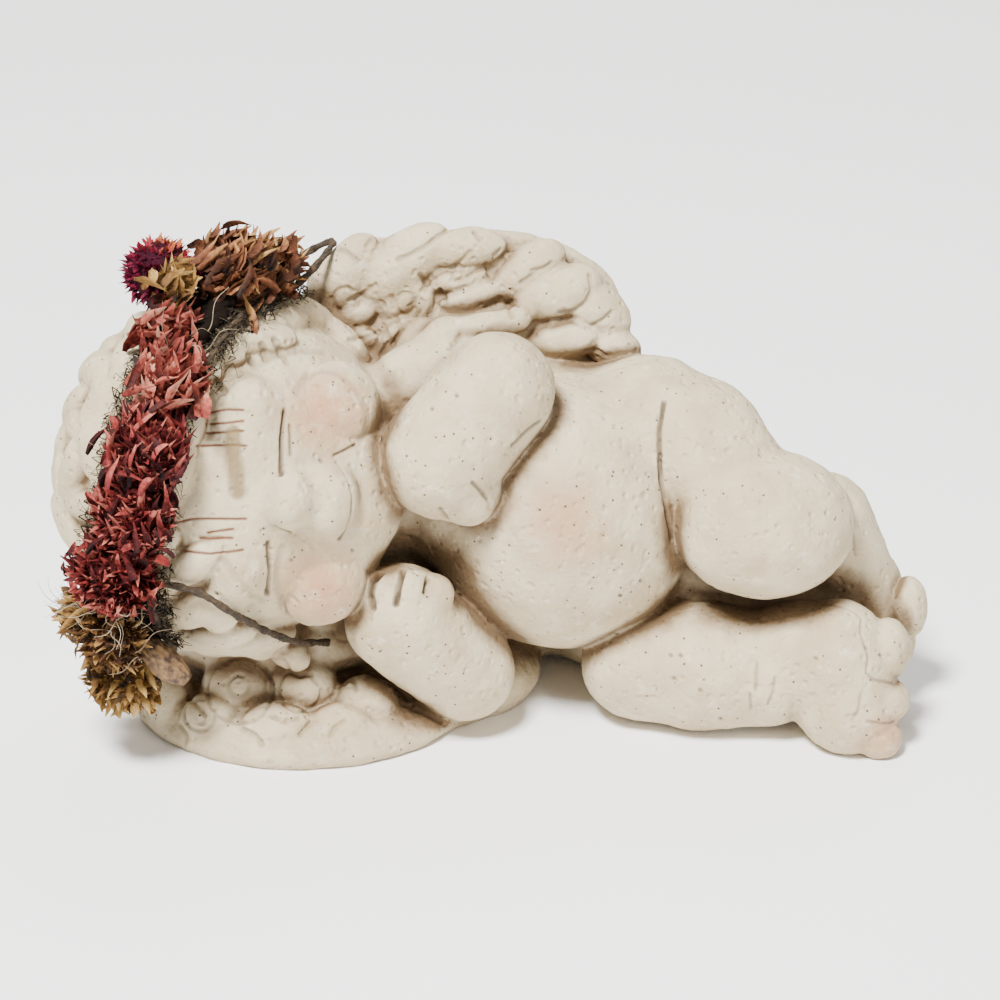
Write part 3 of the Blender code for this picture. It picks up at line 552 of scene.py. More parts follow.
# Plain stretches need fewer triangles than carved ones, so the skin is thinned there.
TRIANGLES = 190000
thinned = cherub.modifiers.new("Thinned", "DECIMATE")
thinned.ratio = min(1.0, TRIANGLES / sum(len(side.vertices) - 2 for side in cherub.data.polygons))
plain_mesh(cherub)


def hex_colour(code):
    """An sRGB hex colour as linear red, green, blue and alpha."""
    parts = [int(code[i:i + 2], 16) / 255 for i in (1, 3, 5)]
    return tuple(c / 12.92 if c <= 0.04045 else ((c + 0.055) / 1.055) ** 2.4 for c in parts) + (1.0,)


def add(tree, kind, feeds=None, **settings):
    """A new node's outputs. Its sockets are fed by a link, a list of links or a plain value."""
    made = tree.nodes.new(kind)
    for name, value in settings.items():
        setattr(made, name, value)
    for socket, value in (feeds or {}).items():
        if isinstance(value, (bpy.types.NodeSocket, list)):
            for link in value if isinstance(value, list) else [value]:
                tree.links.new(link, made.inputs[socket])
        else:
            made.inputs[socket].default_value = value
    return made.outputs


def finish_of(name, roughness):
    """A new material, its tree, its shader's inputs, and the places on the object."""
    made = bpy.data.materials.new(name)
    made.use_nodes = True
    shader = made.node_tree.nodes["Principled BSDF"].inputs
    shader["Roughness"].default_value = roughness
    return made, made.node_tree, shader, add(made.node_tree, "ShaderNodeTexCoord")["Object"]


def surfaced(tree, shader, colour, height, strength, distance):
    """Feeds the shader its colour, and a relief from a height in nodes."""
    tree.links.new(colour, shader["Base Color"])
    relief = add(tree, "ShaderNodeBump", {"Strength": strength, "Distance": distance, "Height": height})
    tree.links.new(relief[0], shader["Normal"])


# Casting plaster, sealed and brown-washed: chalky and matt, cloudy cream and near white,
# with fine dark specks of grit, warm brown where the wash stayed in the creases, and painted
# shade in the same brown in the deeper recesses.
plaster, tree, shader, places = finish_of("sealed_casting_plaster", 0.78)
clouds = add(tree, "ShaderNodeTexNoise", {"Vector": places, "Scale": 110, "Detail": 5, "Roughness": 0.6})[0]
cloud = add(tree, "ShaderNodeMapRange", {0: clouds, 1: 0.36, 2: 0.68})[0]
patches = add(tree, "ShaderNodeTexNoise", {"Vector": places, "Scale": 320, "Detail": 4, "Roughness": 0.65})[0]
chalky = add(tree, "ShaderNodeMapRange", {0: patches, 1: 0.6, 2: 0.72, 4: 0.6})[0]
painted = {name: add(tree, "ShaderNodeAttribute", attribute_name=name)["Fac"]
           for name in ("blush", "hollow", "carved", "brow", "wedge")}
worn = add(tree, "ShaderNodeMapRange", {0: patches, 1: 0.7, 2: 0.5, 3: 0.35, 4: 0.85})[0]
rubbed = add(tree, "ShaderNodeMath", {0: painted["blush"], 1: worn}, operation="MULTIPLY")[0]
# The hollows' brown: wash in the creases and painted shade in the deeper recesses, its edge broken by noise.
wash_and_shade_edge = add(tree, "ShaderNodeMath", {0: patches, 1: 0.5, 2: -0.25}, operation="MULTIPLY_ADD")[0]
washed_and_shaded = add(tree, "ShaderNodeMath", {0: painted["hollow"], 1: wash_and_shade_edge}, operation="ADD")[0]
wash_and_shade = add(tree, "ShaderNodeMapRange", {0: washed_and_shaded, 1: 0.16, 2: 0.62, 4: 0.95})[0]
broken = add(tree, "ShaderNodeMapRange", {0: clouds, 1: 0.35, 2: 0.6, 3: 0.6, 4: 1.0})[0]
in_cuts = add(tree, "ShaderNodeMath", {0: painted["carved"], 1: broken}, operation="MULTIPLY")[0]
wedge_wash = add(tree, "ShaderNodeMath", {0: painted["wedge"], 1: 0.85}, operation="MULTIPLY")[0]
# Grit of about 0.2 mm, a speck every 1.5 mm or so.
grit = add(tree, "ShaderNodeTexVoronoi", {"Vector": places, "Scale": 700, "Randomness": 1})
speck = add(tree, "ShaderNodeMapRange", {0: grit["Distance"], 1: 0.17, 2: 0.09})[0]
some = add(tree, "ShaderNodeSeparateColor", {0: grit["Color"]})[0]
few = add(tree, "ShaderNodeMath", {0: some, 1: 0.62}, operation="GREATER_THAN")[0]
specks = add(tree, "ShaderNodeMath", {0: speck, 1: few}, operation="MULTIPLY")[0]
# The coats of paint, from the plaster out: how much of each shows, and its colour. The
# brown of the hollows is wash in the creases and painted shade in the deeper recesses.
coats = ((cloud, "#cebf9f"), (chalky, "#ddd4c2"), (rubbed, "#b0805c"), (wash_and_shade, "#6b5233"),
         (in_cuts, "#40290f"), (painted["brow"], "#68381f"), (wedge_wash, "#7c6742"), (specks, "#4d3c2a"))
colour = hex_colour("#b9a683")
for share, code in coats:
    colour = add(tree, "ShaderNodeMix", {0: share, 6: colour, 7: hex_colour(code)}, data_type="RGBA")[2]
# The skin is uneven by hand at 2 to 4 mm, and pitted by air at under 1 mm.
uneven = add(tree, "ShaderNodeTexNoise", {"Vector": places, "Scale": 420, "Detail": 8, "Roughness": 0.68})[0]
pocks = add(tree, "ShaderNodeTexVoronoi", {"Vector": places, "Scale": 520}, feature="SMOOTH_F1")
pock = add(tree, "ShaderNodeMapRange", {0: pocks["Distance"], 1: 0.05, 2: 0.3})[0]
relief = add(tree, "ShaderNodeMath", {0: uneven, 1: pock}, operation="MULTIPLY")[0]
surfaced(tree, shader, colour, relief, strength=0.7, distance=0.0010)

cherub.data.materials.clear()
cherub.data.materials.append(plaster)
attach(cherub, "root")
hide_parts("figure")


# The wreath is wound on a thin dry vine, two dark stems twisted together in a long loop that
# lies over the hair like a band. One end was left long and lies loose under the cheek.
VINE = 0.8                                    # half the twisted pair, in millimetres
GAP = 0.5                                     # between the vine and the hair
TWIST_LENGTH = 8.5                            # along the vine, for one turn
BAND_MIDDLE = HEAD + np.array((-2.2, 0.0, 0.0))
BAND_TOP = unit((0.297, 0.404, 0.866))
BAND_FRONT = unit((-0.37, -0.785, 0.493))
BAND_ACROSS = np.cross(BAND_TOP, BAND_FRONT)
BAND_START = -5
BAND_END = 166
STRAND_SPACING = 7.0
LOOP_ASIDE = 1.6
LOOP_REACH = 30.0
TAIL = ((-47.4, -24.6, 32.6), (-43.3, -25.0, 31.9), (-38.2, -24.0, 28.4), (-33.9, -21.0, 22.6),
        (-28.8, -18.6, 19.0), (-25.0, -17.4, 18.2))


def band_direction(turn):
    """The way out from the band's middle, at some degrees round from its top end."""
    return math.cos(math.radians(turn)) * BAND_TOP + math.sin(math.radians(turn)) * BAND_FRONT


def on_band(turn, across, height):
    """A place above the hair, at an angle round the band and a distance across it."""
    outermost, innermost = 44.0, 20.0
    reach = np.linspace(outermost, innermost, 121)
    line = BAND_MIDDLE + across * BAND_ACROSS + reach[:, None] * band_direction(turn)
    met = np.flatnonzero(field(line, clay) <= height)
    return line[met[0]] if len(met) else line[len(line) // 2]


def vine_route(count=56):
    """The loop's route: along one strand, round its end and back along the other."""
    half = STRAND_SPACING / 2
    round_end = math.degrees(half / LOOP_REACH)
    route = []
    long_way = BAND_END - BAND_START
    bend = math.pi * round_end
    for i in range(count):
        along = 2 * (long_way + bend) * i / count
        if along < long_way:
            turn, across = BAND_START + along, half
        elif along < long_way + bend:
            angle = math.pi * (along - long_way) / bend
            turn, across = BAND_END + round_end * math.sin(angle), half * math.cos(angle)
        elif along < 2 * long_way + bend:
            turn, across = BAND_END - (along - long_way - bend), -half
        else:
            angle = math.pi * (along - 2 * long_way - bend) / bend
            turn, across = BAND_START - round_end * math.sin(angle), -half * math.cos(angle)
        route.append(on_band(turn, across + LOOP_ASIDE, VINE + GAP))
    route = np.array(route)
    out = (route - BAND_MIDDLE) - ((route - BAND_MIDDLE) @ BAND_ACROSS)[:, None] * BAND_ACROSS
    reach = np.linalg.norm(out, axis=1)
    highest = np.maximum.reduce([np.roll(reach, shift) for shift in (-1, 0, 1)])
    eased = (np.roll(highest, 1) + 2 * highest + np.roll(highest, -1)) / 4
    return route + out / reach[:, None] * (np.maximum(eased, reach) - reach)[:, None]


def tail_route(count=16):
    """The loose end, on the outside of the hair."""
    toward = (-0.1, -0.9, 0.4)
    spots = np.array([on_surface(spot, toward, clay, VINE + GAP) for spot in TAIL])
    steps = np.linspace(0, len(spots) - 1, count)
    route = np.stack([np.interp(steps, range(len(spots)), spots[:, axis]) for axis in range(3)], axis=1)
    eased = route.copy()
    eased[1:-1] = (route[:-2] + 2 * route[1:-1] + route[2:]) / 4
    return np.array([on_surface(spot, toward, clay, VINE + GAP) for spot in eased])


def in_place(points):
    """Places in the clay's millimetres as the part's metres."""
    return (np.asarray(points, float) + SETTLED) * MM


def wire_object(name, points, closed):
    """A mesh of edges along a route, for a stem to follow."""
    mesh = bpy.data.meshes.new(name)
    edges = [(i, i + 1) for i in range(len(points) - 1)] + ([(len(points) - 1, 0)] if closed else [])
    mesh.from_pydata([tuple(point) for point in points], edges, [])
    return linked(name, mesh)


def geometry_tree(name, inputs):
    """A geometry node tree with named inputs, what it is given, and the socket for its result."""
    tree = bpy.data.node_groups.new(name, "GeometryNodeTree")
    tree.interface.new_socket("Geometry", in_out="INPUT", socket_type="NodeSocketGeometry")
    for label, kind in inputs:
        tree.interface.new_socket(label, in_out="INPUT", socket_type=kind)
    tree.interface.new_socket("Geometry", in_out="OUTPUT", socket_type="NodeSocketGeometry")
    return tree, tree.nodes.new("NodeGroupInput").outputs, tree.nodes.new("NodeGroupOutput").inputs


def grown(thing, tree, values):
    """Runs a tree on the object with the inputs' values, and keeps the result as plain mesh."""
    modifier = thing.modifiers.new(tree.name, "NODES")
    modifier.node_group = tree
    for item in tree.interface.items_tree:
        if item.item_type == "SOCKET" and item.in_out == "INPUT" and item.name in values:
            modifier[item.identifier] = values[item.name]
    plain_mesh(thing)
    return thing


def coated(tree, given, shapes, scale, detail, crumple):
    """The shapes made uneven by noise, shaded smooth, made real and given their material."""
    shaken = add(tree, "ShaderNodeTexNoise", {"Scale": scale, "Detail": detail})["Color"]
    centred = add(tree, "ShaderNodeVectorMath", {0: shaken, 1: (0.5, 0.5, 0.5)}, operation="SUBTRACT")[0]
    drift = add(tree, "ShaderNodeVectorMath", {0: centred, "Scale": crumple}, operation="SCALE")[0]
    for kind, feeds in (("SetPosition", {"Offset": drift}), ("SetShadeSmooth", {}), ("RealizeInstances", {}),
                        ("SetMaterial", {"Material": given["Material"]})):
        shapes = add(tree, "GeometryNode" + kind, {"Geometry": shapes, **feeds})[0]
    return shapes


twisted, given, result = geometry_tree("twisted stems", (
    ("Stem", "NodeSocketFloat"), ("Twist length", "NodeSocketFloat"), ("Step", "NodeSocketFloat"),
    ("Uneven", "NodeSocketFloat"), ("Material", "NodeSocketMaterial")))
wire = add(twisted, "GeometryNodeMeshToCurve", {"Mesh": given["Geometry"]})[0]
soft = add(twisted, "GeometryNodeCurveSplineType", {"Curve": wire}, spline_type="NURBS")[0]
fine = add(twisted, "GeometryNodeResampleCurve", {"Curve": soft, "Length": given["Step"]}, mode="LENGTH")[0]
along = add(twisted, "GeometryNodeSplineParameter")["Length"]
turns = add(twisted, "ShaderNodeMath", {0: along, 1: given["Twist length"]}, operation="DIVIDE")[0]
tilt = add(twisted, "ShaderNodeMath", {0: turns, 1: 2 * math.pi}, operation="MULTIPLY")[0]
tilted = add(twisted, "GeometryNodeSetCurveTilt", {"Curve": fine, "Tilt": tilt})[0]
lumps = add(twisted, "ShaderNodeTexNoise", {"Scale": 700, "Detail": 2})[0]
thick = add(twisted, "ShaderNodeMapRange", {0: lumps, 1: 0.3, 2: 0.7, 3: 0.82, 4: 1.12})[0]
stem_round = add(twisted, "GeometryNodeCurvePrimitiveCircle", {"Resolution": 8, "Radius": given["Stem"]})[0]
pair = []
for side in (0.45, -0.45):
    offset = add(twisted, "ShaderNodeMath", {0: given["Stem"], 1: side}, operation="MULTIPLY")[0]
    aside = add(twisted, "ShaderNodeCombineXYZ", {"X": offset})[0]
    pair.append(add(twisted, "GeometryNodeTransform", {"Geometry": stem_round, "Translation": aside})[0])
profile = add(twisted, "GeometryNodeJoinGeometry", {0: pair})[0]
stems = add(twisted, "GeometryNodeCurveToMesh", {"Curve": tilted, "Profile Curve": profile, "Scale": thick,
                                                 "Fill Caps": True})[0]
twisted.links.new(coated(twisted, given, stems, 1500, 3, given["Uneven"]), result[0])

# Dry vine bark: dull, dark brown with paler worn ridges, ribbed along its length.
bark, tree, shader, places = finish_of("dry_vine_bark", 0.85)
ribs = add(tree, "ShaderNodeTexNoise", {"Vector": places, "Scale": 1400, "Detail": 4, "Roughness": 0.7})[0]
worn = add(tree, "ShaderNodeMapRange", {0: ribs, 1: 0.35, 2: 0.7})[0]
colour = add(tree, "ShaderNodeMix", {0: worn, 6: hex_colour("#110c07"), 7: hex_colour("#4d3a22")},
             data_type="RGBA")[2]
surfaced(tree, shader, colour, ribs, strength=0.6, distance=0.0003)

for name, node, route, closed in (("vine_loop", "wreath_vine", vine_route(), True),
                                  ("loose_vine_end", "vine_tail", tail_route(), False)):
    stem = wire_object(name, in_place(route), closed)
    grown(stem, twisted, {"Stem": 0.56 * VINE * MM, "Twist length": TWIST_LENGTH * MM, "Step": 0.35 * MM,
                          "Uneven": 0.0002, "Material": bark})
    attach(stem, "root")
    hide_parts(node)


# The flower heads are dried everlastings, glued along the vine while whole. Each is a small
# dark cone with papery pointed bracts laid round it in the spiral of a pine cone.
WIDE = 8.0                                    # half the wreath's width, in millimetres
# Name, CAD node, degrees round the band, distances across it and above the hair in shares
# of WIDE, half sizes along, across and outward, the way it blooms (up the band, across it,
# outward), how far its bracts open at its base and tip, how many bracts, their length and
# width in millimetres, and their colours.
FLOWER_HEADS = (
    ("red_everlasting_1", "bract_head_1", 54, -0.25, 0.30,
     (0.66, 0.66, 0.56), (1.0, 0.2, 0.5), (0.5, 0.1), 120, 6.2, 1.5, "salmon"),
    ("red_everlasting_2", "bract_head_2", 68, 0.38, 0.32,
     (0.74, 0.76, 0.58), (1.0, 0.1, 0.6), (0.5, 0.1), 190, 6.0, 1.35, "salmon"),
    ("red_everlasting_3", "bract_head_3", 88, 0.42, 0.38,
     (0.90, 0.92, 0.62), (1.0, 0.0, 0.7), (0.5, 0.15), 330, 5.8, 1.1, "red"),
    ("red_everlasting_4", "bract_head_4", 107, 0.42, 0.40,
     (0.90, 0.92, 0.64), (1.0, 0.1, 0.7), (0.5, 0.15), 340, 5.6, 1.1, "red"),
    ("red_everlasting_5", "bract_head_5", 126, 0.12, 0.42,
     (0.90, 0.98, 0.66), (0.8, 0.0, 0.9), (0.65, 0.3), 360, 5.0, 1.1, "red"),
    ("brown_everlasting_1", "long_bract_head_1", 11, 0.30, 0.40,
     (0.85, 0.50, 0.56), (1.0, 0.1, 0.25), (0.45, 0.1), 110, 8.4, 1.15, "brown"),
    ("brown_everlasting_2", "long_bract_head_2", 27, 0.05, 0.60,
     (1.0, 0.78, 0.80), (1.0, 0.1, 0.45), (0.5, 0.1), 210, 8.0, 1.15, "brown"),
    ("tan_everlasting_1", "tan_head_1", 45, -0.40, 0.92,
     (0.50, 0.48, 0.46), (1.0, 0.3, 0.5), (0.5, 0.1), 60, 5.0, 1.2, "tan"),
    ("tan_everlasting_2", "tan_head_2", 149, -0.95, 0.50,
     (0.60, 0.62, 0.60), (-0.2, -1.0, 0.3), (0.8, 0.3), 90, 4.4, 1.6, "tan"),
    ("tan_everlasting_3", "tan_head_3", 148, -0.02, 0.55,
     (0.82, 0.84, 0.72), (-0.1, 0.0, 1.0), (0.9, 0.4), 230, 4.0, 1.1, "rust"),
    ("tan_everlasting_4", "tan_head_4", 165, -0.05, 0.95,
     (0.74, 0.88, 0.68), (-0.8, 0.0, 0.7), (0.8, 0.3), 230, 4.6, 1.2, "tan"),
)
# From dark to pale; the dark end shows mostly at the roots, as painted shade.
BRACT_COLOURS = {
    "salmon": ("#1c0706", "#5c2018", "#94473a", "#b8836c"),
    "red": ("#150404", "#481213", "#7a2b27", "#a96353"),
    "brown": ("#140a05", "#472615", "#75462c", "#ab8350"),
    "tan": ("#1b1008", "#6a4a24", "#916e38", "#b1935c"),
    "rust": ("#130a05", "#472d19", "#76532b", "#a07d4a"),
}


def bract_shape(name, curl):
    """One papery bract, a unit long: pointed, cupped, and curled back at its tip."""
    rows, columns = 6, 3
    corners, sides, shares = [], [], []
    for row in range(rows):
        share = row / (rows - 1)
        half = 0.5 * math.sin(math.pi * min(0.98, 0.16 + 0.84 * share) ** 0.8) ** 0.75 + 0.01
        for column in range(columns):
            across = (column / (columns - 1) * 2 - 1) * half
            cupped = 0.45 * across * across / 0.5
            back = curl * share ** 2.5
            corners.append((across, cupped - back, share))
            shares.append(share)
    for row in range(rows - 1):
        for column in range(columns - 1):
            i = row * columns + column
            sides.append((i, i + 1, i + columns + 1, i + columns))
    mesh = bpy.data.meshes.new(name)
    mesh.from_pydata(corners, [], sides)
    values_on(mesh, "along", shares)
    return linked(name, mesh, hidden=True)


def core_shape(name, middle, axes, sizes, finish):
    """The dark knobbly heart of a flower head, under its bracts."""
    chance = random.Random(name)
    bm = bmesh.new()
    bmesh.ops.create_icosphere(bm, subdivisions=3, radius=1.0)
    for corner in bm.verts:
        reach = np.array(corner.co[:]) * sizes * chance.uniform(0.92, 1.08)
        corner.co = Vector(in_place(middle + reach @ axes).tolist())
    mesh = bpy.data.meshes.new(name)
    bm.to_mesh(mesh)
    bm.free()
    mesh.materials.append(finish)
    return linked(name, mesh, hidden=True)


def rooted_points(name, roots, aims, cups, sizes, tones):
    """Bare points, each with the way and size of the shape that grows on it."""
    mesh = bpy.data.meshes.new(name)
    mesh.from_pydata([tuple(root) for root in in_place(roots)], [], [])
    for label, values in (("aim", aims), ("cup", cups), ("size", np.asarray(sizes) * MM)):
        layer = mesh.attributes.new(label, "FLOAT_VECTOR", "POINT")
        layer.data.foreach_set("vector", np.asarray(values, np.float32).ravel())
    values_on(mesh, "tone", tones)
    return linked(name, mesh)


rooted, given, result = geometry_tree("shapes on their roots", (
    ("Shape", "NodeSocketObject"), ("Core", "NodeSocketObject"), ("Crumple", "NodeSocketFloat"),
    ("Material", "NodeSocketMaterial")))
shape = add(rooted, "GeometryNodeObjectInfo", {"Object": given["Shape"]})["Geometry"]
heart = add(rooted, "GeometryNodeObjectInfo", {"Object": given["Core"]})["Geometry"]
aim, cup, size = (add(rooted, "GeometryNodeInputNamedAttribute", {"Name": name}, data_type="FLOAT_VECTOR")[0]
                  for name in ("aim", "cup", "size"))
turned = add(rooted, "FunctionNodeAxesToRotation", {0: aim, 1: cup}, primary_axis="Z", secondary_axis="Y")[0]
placed = add(rooted, "GeometryNodeInstanceOnPoints",
             {"Points": given["Geometry"], "Instance": shape, "Rotation": turned, "Scale": size})[0]
real = add(rooted, "GeometryNodeRealizeInstances", {"Geometry": placed})[0]
bracts = coated(rooted, given, real, 450, 2, given["Crumple"])
whole_head = add(rooted, "GeometryNodeJoinGeometry", {0: [bracts, heart]})[0]
rooted.links.new(whole_head, result[0])


def papery_finish(name, *codes):
    """Dried papery bracts: matt and streaked, each faded by its own amount, and darker towards the root as
    painted shade among the others.
    """
    made, tree, shader, places = finish_of(name, 0.7)
    tone, along = (add(tree, "ShaderNodeAttribute", attribute_name=name)["Fac"] for name in ("tone", "along"))
    streaks = add(tree, "ShaderNodeTexNoise", {"Vector": places, "Scale": 1300, "Detail": 3})[0]
    # Darker towards each bract's or strand's root: painted shade where it lies deep among the others.
    shade = add(tree, "ShaderNodeMath", {0: along, 1: 0.45, 2: -0.45}, operation="MULTIPLY_ADD")[0]
    for value, weight in ((streaks, 0.7), (tone, 0.75)):
        shade = add(tree, "ShaderNodeMath", {0: value, 1: weight, 2: shade}, operation="MULTIPLY_ADD")[0]
    ramp = tree.nodes.new("ShaderNodeValToRGB")
    tree.links.new(shade, ramp.inputs[0])
    stops = ramp.color_ramp.elements
    for share, code in zip((0.0, 0.38, 0.66, 1.0), codes):
        stop = stops[0] if share == 0.0 else stops[-1] if share == 1.0 else stops.new(share)
        stop.color = hex_colour(code)
    shader["Specular IOR Level"].default_value = 0.2
    surfaced(tree, shader, ramp.outputs[0], streaks, strength=0.5, distance=0.0002)
    return made


def heart_finish(name, code):
    """The close dark scales at the heart of a dried head."""
    made, tree, shader, places = finish_of(name, 0.9)
    shader["Specular IOR Level"].default_value = 0.1
    grains = add(tree, "ShaderNodeTexVoronoi", {"Vector": places, "Scale": 1500})["Distance"]
    shaded = add(tree, "ShaderNodeMix", {0: grains, 6: hex_colour("#120806"), 7: hex_colour(code)},
                 data_type="RGBA")
    tree.links.new(shaded[2], shader["Base Color"])
    return made


bract = bract_shape("papery_bract", 0.16)
bract_finishes, heart_finishes = {}, {}
for name, codes in BRACT_COLOURS.items():
    bract_finishes[name] = papery_finish("dried_" + name + "_bracts", *codes)
    heart_finishes[name] = heart_finish("dried_" + name + "_heart", codes[1])


def head_middle(turn, across, high):
    """The middle of a flower head, so far out from the vine that lies on the hair."""
    return on_band(turn, across * WIDE, 2 * VINE + GAP) + high * WIDE * band_direction(turn)


def head_axes(turn):
    """Along the band, across it and outward, where a flower head sits."""
    out = band_direction(turn)
    return np.array((unit(np.cross(BAND_ACROSS, out)), BAND_ACROSS, out))


def bracts_round(name, middle, axes, sizes, bloom, opening, count, length, width, base=-0.75, loose=0.24):
    """Bracts in a spiral from the head's base to its tip, opening less towards the tip."""
    chance = random.Random(name)
    bloom_way = unit((-bloom[0], bloom[1], bloom[2]) @ axes)
    first = unit(np.cross(bloom_way, (0.3, 0.5, 0.8)))
    second = np.cross(bloom_way, first)
    rows = []
    for i in range(count):
        share = (i + 0.5) / count
        level = base + (1 - base) * share
        turn = i * GOLDEN_TURN
        around = math.cos(turn) * first + math.sin(turn) * second
        way = level * bloom_way + math.sqrt(max(0.0, 1 - level * level)) * around
        reach = 1 / np.linalg.norm((way @ axes.T) / sizes)
        tip = middle + way * reach * chance.uniform(0.74, 1.06)
        opened = opening[0] + (opening[1] - opening[0]) * share
        jitter = np.array([chance.gauss(0, loose) for _ in range(3)])
        aim = unit(opened * way + (1 - opened) * bloom_way + jitter)
        long = length * chance.uniform(0.55, 1.15)
        inner = bloom_way - aim * (bloom_way @ aim)
        inner = inner if np.linalg.norm(inner) > 0.1 else -around
        cup = unit(inner + 0.5 * np.array([chance.gauss(0, 0.5) for _ in range(3)]))
        broad = width * chance.uniform(0.6, 1.35)
        rows.append((tip - aim * long, aim, cup, (broad, 0.75 * long, long), chance.random()))
    roots, aims, cups, scales, tones = map(np.array, zip(*rows))
    ends = roots + aims * scales[:, 2:]
    clear = (field(ends, clay) > 0.3) & (field((roots + ends) / 2, clay) > 0.1)
    return [values[clear] for values in (roots, aims, cups, scales, tones)]


for name, node, turn, across, high, shares, bloom, opening, count, length, width, colour in FLOWER_HEADS:
    middle, axes = head_middle(turn, across, high), head_axes(turn)
    sizes = np.array(shares) * WIDE
    core = core_shape(name + "_heart", middle, axes, 0.62 * sizes, heart_finishes[colour])
    head = rooted_points(name, *bracts_round(name, middle, axes, sizes, bloom, opening, count, length, width))
    grown(head, rooted, {"Shape": bract, "Core": core, "Crumple": 0.0010, "Material": bract_finishes[colour]})
    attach(head, "root")
    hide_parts(node)
    bpy.data.objects.remove(core)


# A globe flower sits behind the tan one, its short stiff scales set all over like a brush,
# deep magenta below and rust-coloured towards the top.
GLOBE = (42, -1.0, 0.86)
GLOBE_SIZES = np.array((0.74, 0.70, 0.70)) * WIDE
SCALES = 520
SCALE_LENGTH = 2.4
middle, axes = head_middle(*GLOBE), head_axes(GLOBE[0])
magenta = papery_finish("dried_magenta_globe", "#2a0210", "#6b0a2c", "#861f30", "#9c5e28")
magenta_heart = heart_finish("dried_magenta_heart", "#3a0a1e")
core = core_shape("globe_heart", middle, axes, 0.8 * GLOBE_SIZES, magenta_heart)
roots, aims, *others = bracts_round("globe_flower", middle, axes, GLOBE_SIZES, (0.2, 0.0, 1.0), (0.8, 0.4),
                                    SCALES, SCALE_LENGTH, width=0.8, base=-0.95)
aims = np.array([unit(0.7 * unit(root + SCALE_LENGTH * aim - middle) + 0.3 * aim)
                 for root, aim in zip(roots, aims)])
mostly_up = np.array((0.25, 0.1, 1.0))
others[2] = np.clip((roots @ mostly_up - middle @ mostly_up) / 4, 0, 1)
globe = rooted_points("globe_flower", roots, aims, *others)
grown(globe, rooted, {"Shape": bract, "Core": core, "Crumple": 0.0006, "Material": magenta})
bpy.data.objects.remove(core)
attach(globe, "root")
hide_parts("globe_head")


# One leaf, dried into a ribbed brown roll, is glued in below the flowers by its end.
LEAF_MIDDLE = head_middle(158, 0.85, 0.40)
LEAF_WAY = unit((0.74, -0.15, -0.65))
LEAF_LENGTH = 9.0
LEAF_ROUND = 2.7
LEAF_RIBS = 11
leaf_up = unit(np.cross(LEAF_WAY, (0.0, 1.0, 0.0)))
leaf_side = np.cross(LEAF_WAY, leaf_up)
rows, columns = 26, 45
corners, sides = [], []
for row in range(rows):
    share = row / (rows - 1)
    swell = math.sin(math.pi * (0.1 + 0.82 * share)) ** 0.6
    for column in range(columns):
        turn = math.radians(-35 + 330 * column / (columns - 1))
        rib = 1 + 0.07 * math.cos(LEAF_RIBS * turn + 1.5 * share) + 0.04 * math.sin(9 * share + turn)
        wound = LEAF_ROUND * swell * rib * (0.72 + 0.34 * column / (columns - 1))
        place = LEAF_MIDDLE + LEAF_WAY * (share - 0.5) * LEAF_LENGTH
        corners.append(in_place(place + wound * (math.cos(turn) * leaf_up + math.sin(turn) * leaf_side)))
        if row and column:
            i = row * columns + column
            sides.append((i - columns - 1, i - columns, i, i - 1))
mesh = bpy.data.meshes.new("curled_dry_leaf")
mesh.from_pydata([tuple(corner) for corner in corners], [], sides)
mesh.polygons.foreach_set("use_smooth", [True] * len(mesh.polygons))
leaf = linked("curled_dry_leaf", mesh)
thick = leaf.modifiers.new("Leaf thickness", "SOLIDIFY")
thick.thickness = 0.3 * MM
plain_mesh(leaf)
leaf_brown, tree, shader, places = finish_of("dried_brown_leaf", 0.7)
veins = add(tree, "ShaderNodeTexNoise", {"Vector": places, "Scale": 900, "Detail": 5})[0]
vein = add(tree, "ShaderNodeMapRange", {0: veins, 1: 0.35, 2: 0.65})[0]
colour = add(tree, "ShaderNodeMix", {0: vein, 6: hex_colour("#2c190d"), 7: hex_colour("#7f603a")},
             data_type="RGBA")[2]
tree.links.new(colour, shader["Base Color"])
leaf.data.materials.append(leaf_brown)
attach(leaf, "root")
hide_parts("curled_leaf")


# Dark dry moss fills in between the flowers and the hair, tucked round the vine by hand.
# Grey lint and pale threads of the dried stems hang in it.
MOSS_STRANDS = 2400


def strand_shape(name, bends, segments):
    """A thin wavy strand, a unit long, of three flat sides."""
    corners, sides, shares = [], [], []
    for i in range(segments + 1):
        share = i / segments
        fine = 1.0 - 0.7 * share
        wave = (0.16 * math.sin(bends * share), 0.16 * math.sin(1.7 * bends * share + 1) - 0.13)
        for k in range(3):
            turn = 2 * math.pi * k / 3
            ring = (0.03 * fine * math.cos(turn), 0.03 * fine * math.sin(turn))
            corners.append((wave[0] + ring[0], wave[1] + ring[1], share))
            shares.append(share)
        if i:
            for k in range(3):
                a, b = 3 * (i - 1) + k, 3 * (i - 1) + (k + 1) % 3
                sides.append((a, b, b + 3, a + 3))
    mesh = bpy.data.meshes.new(name)
    mesh.from_pydata(corners, [], sides)
    values_on(mesh, "along", shares)
    return linked(name, mesh, hidden=True)


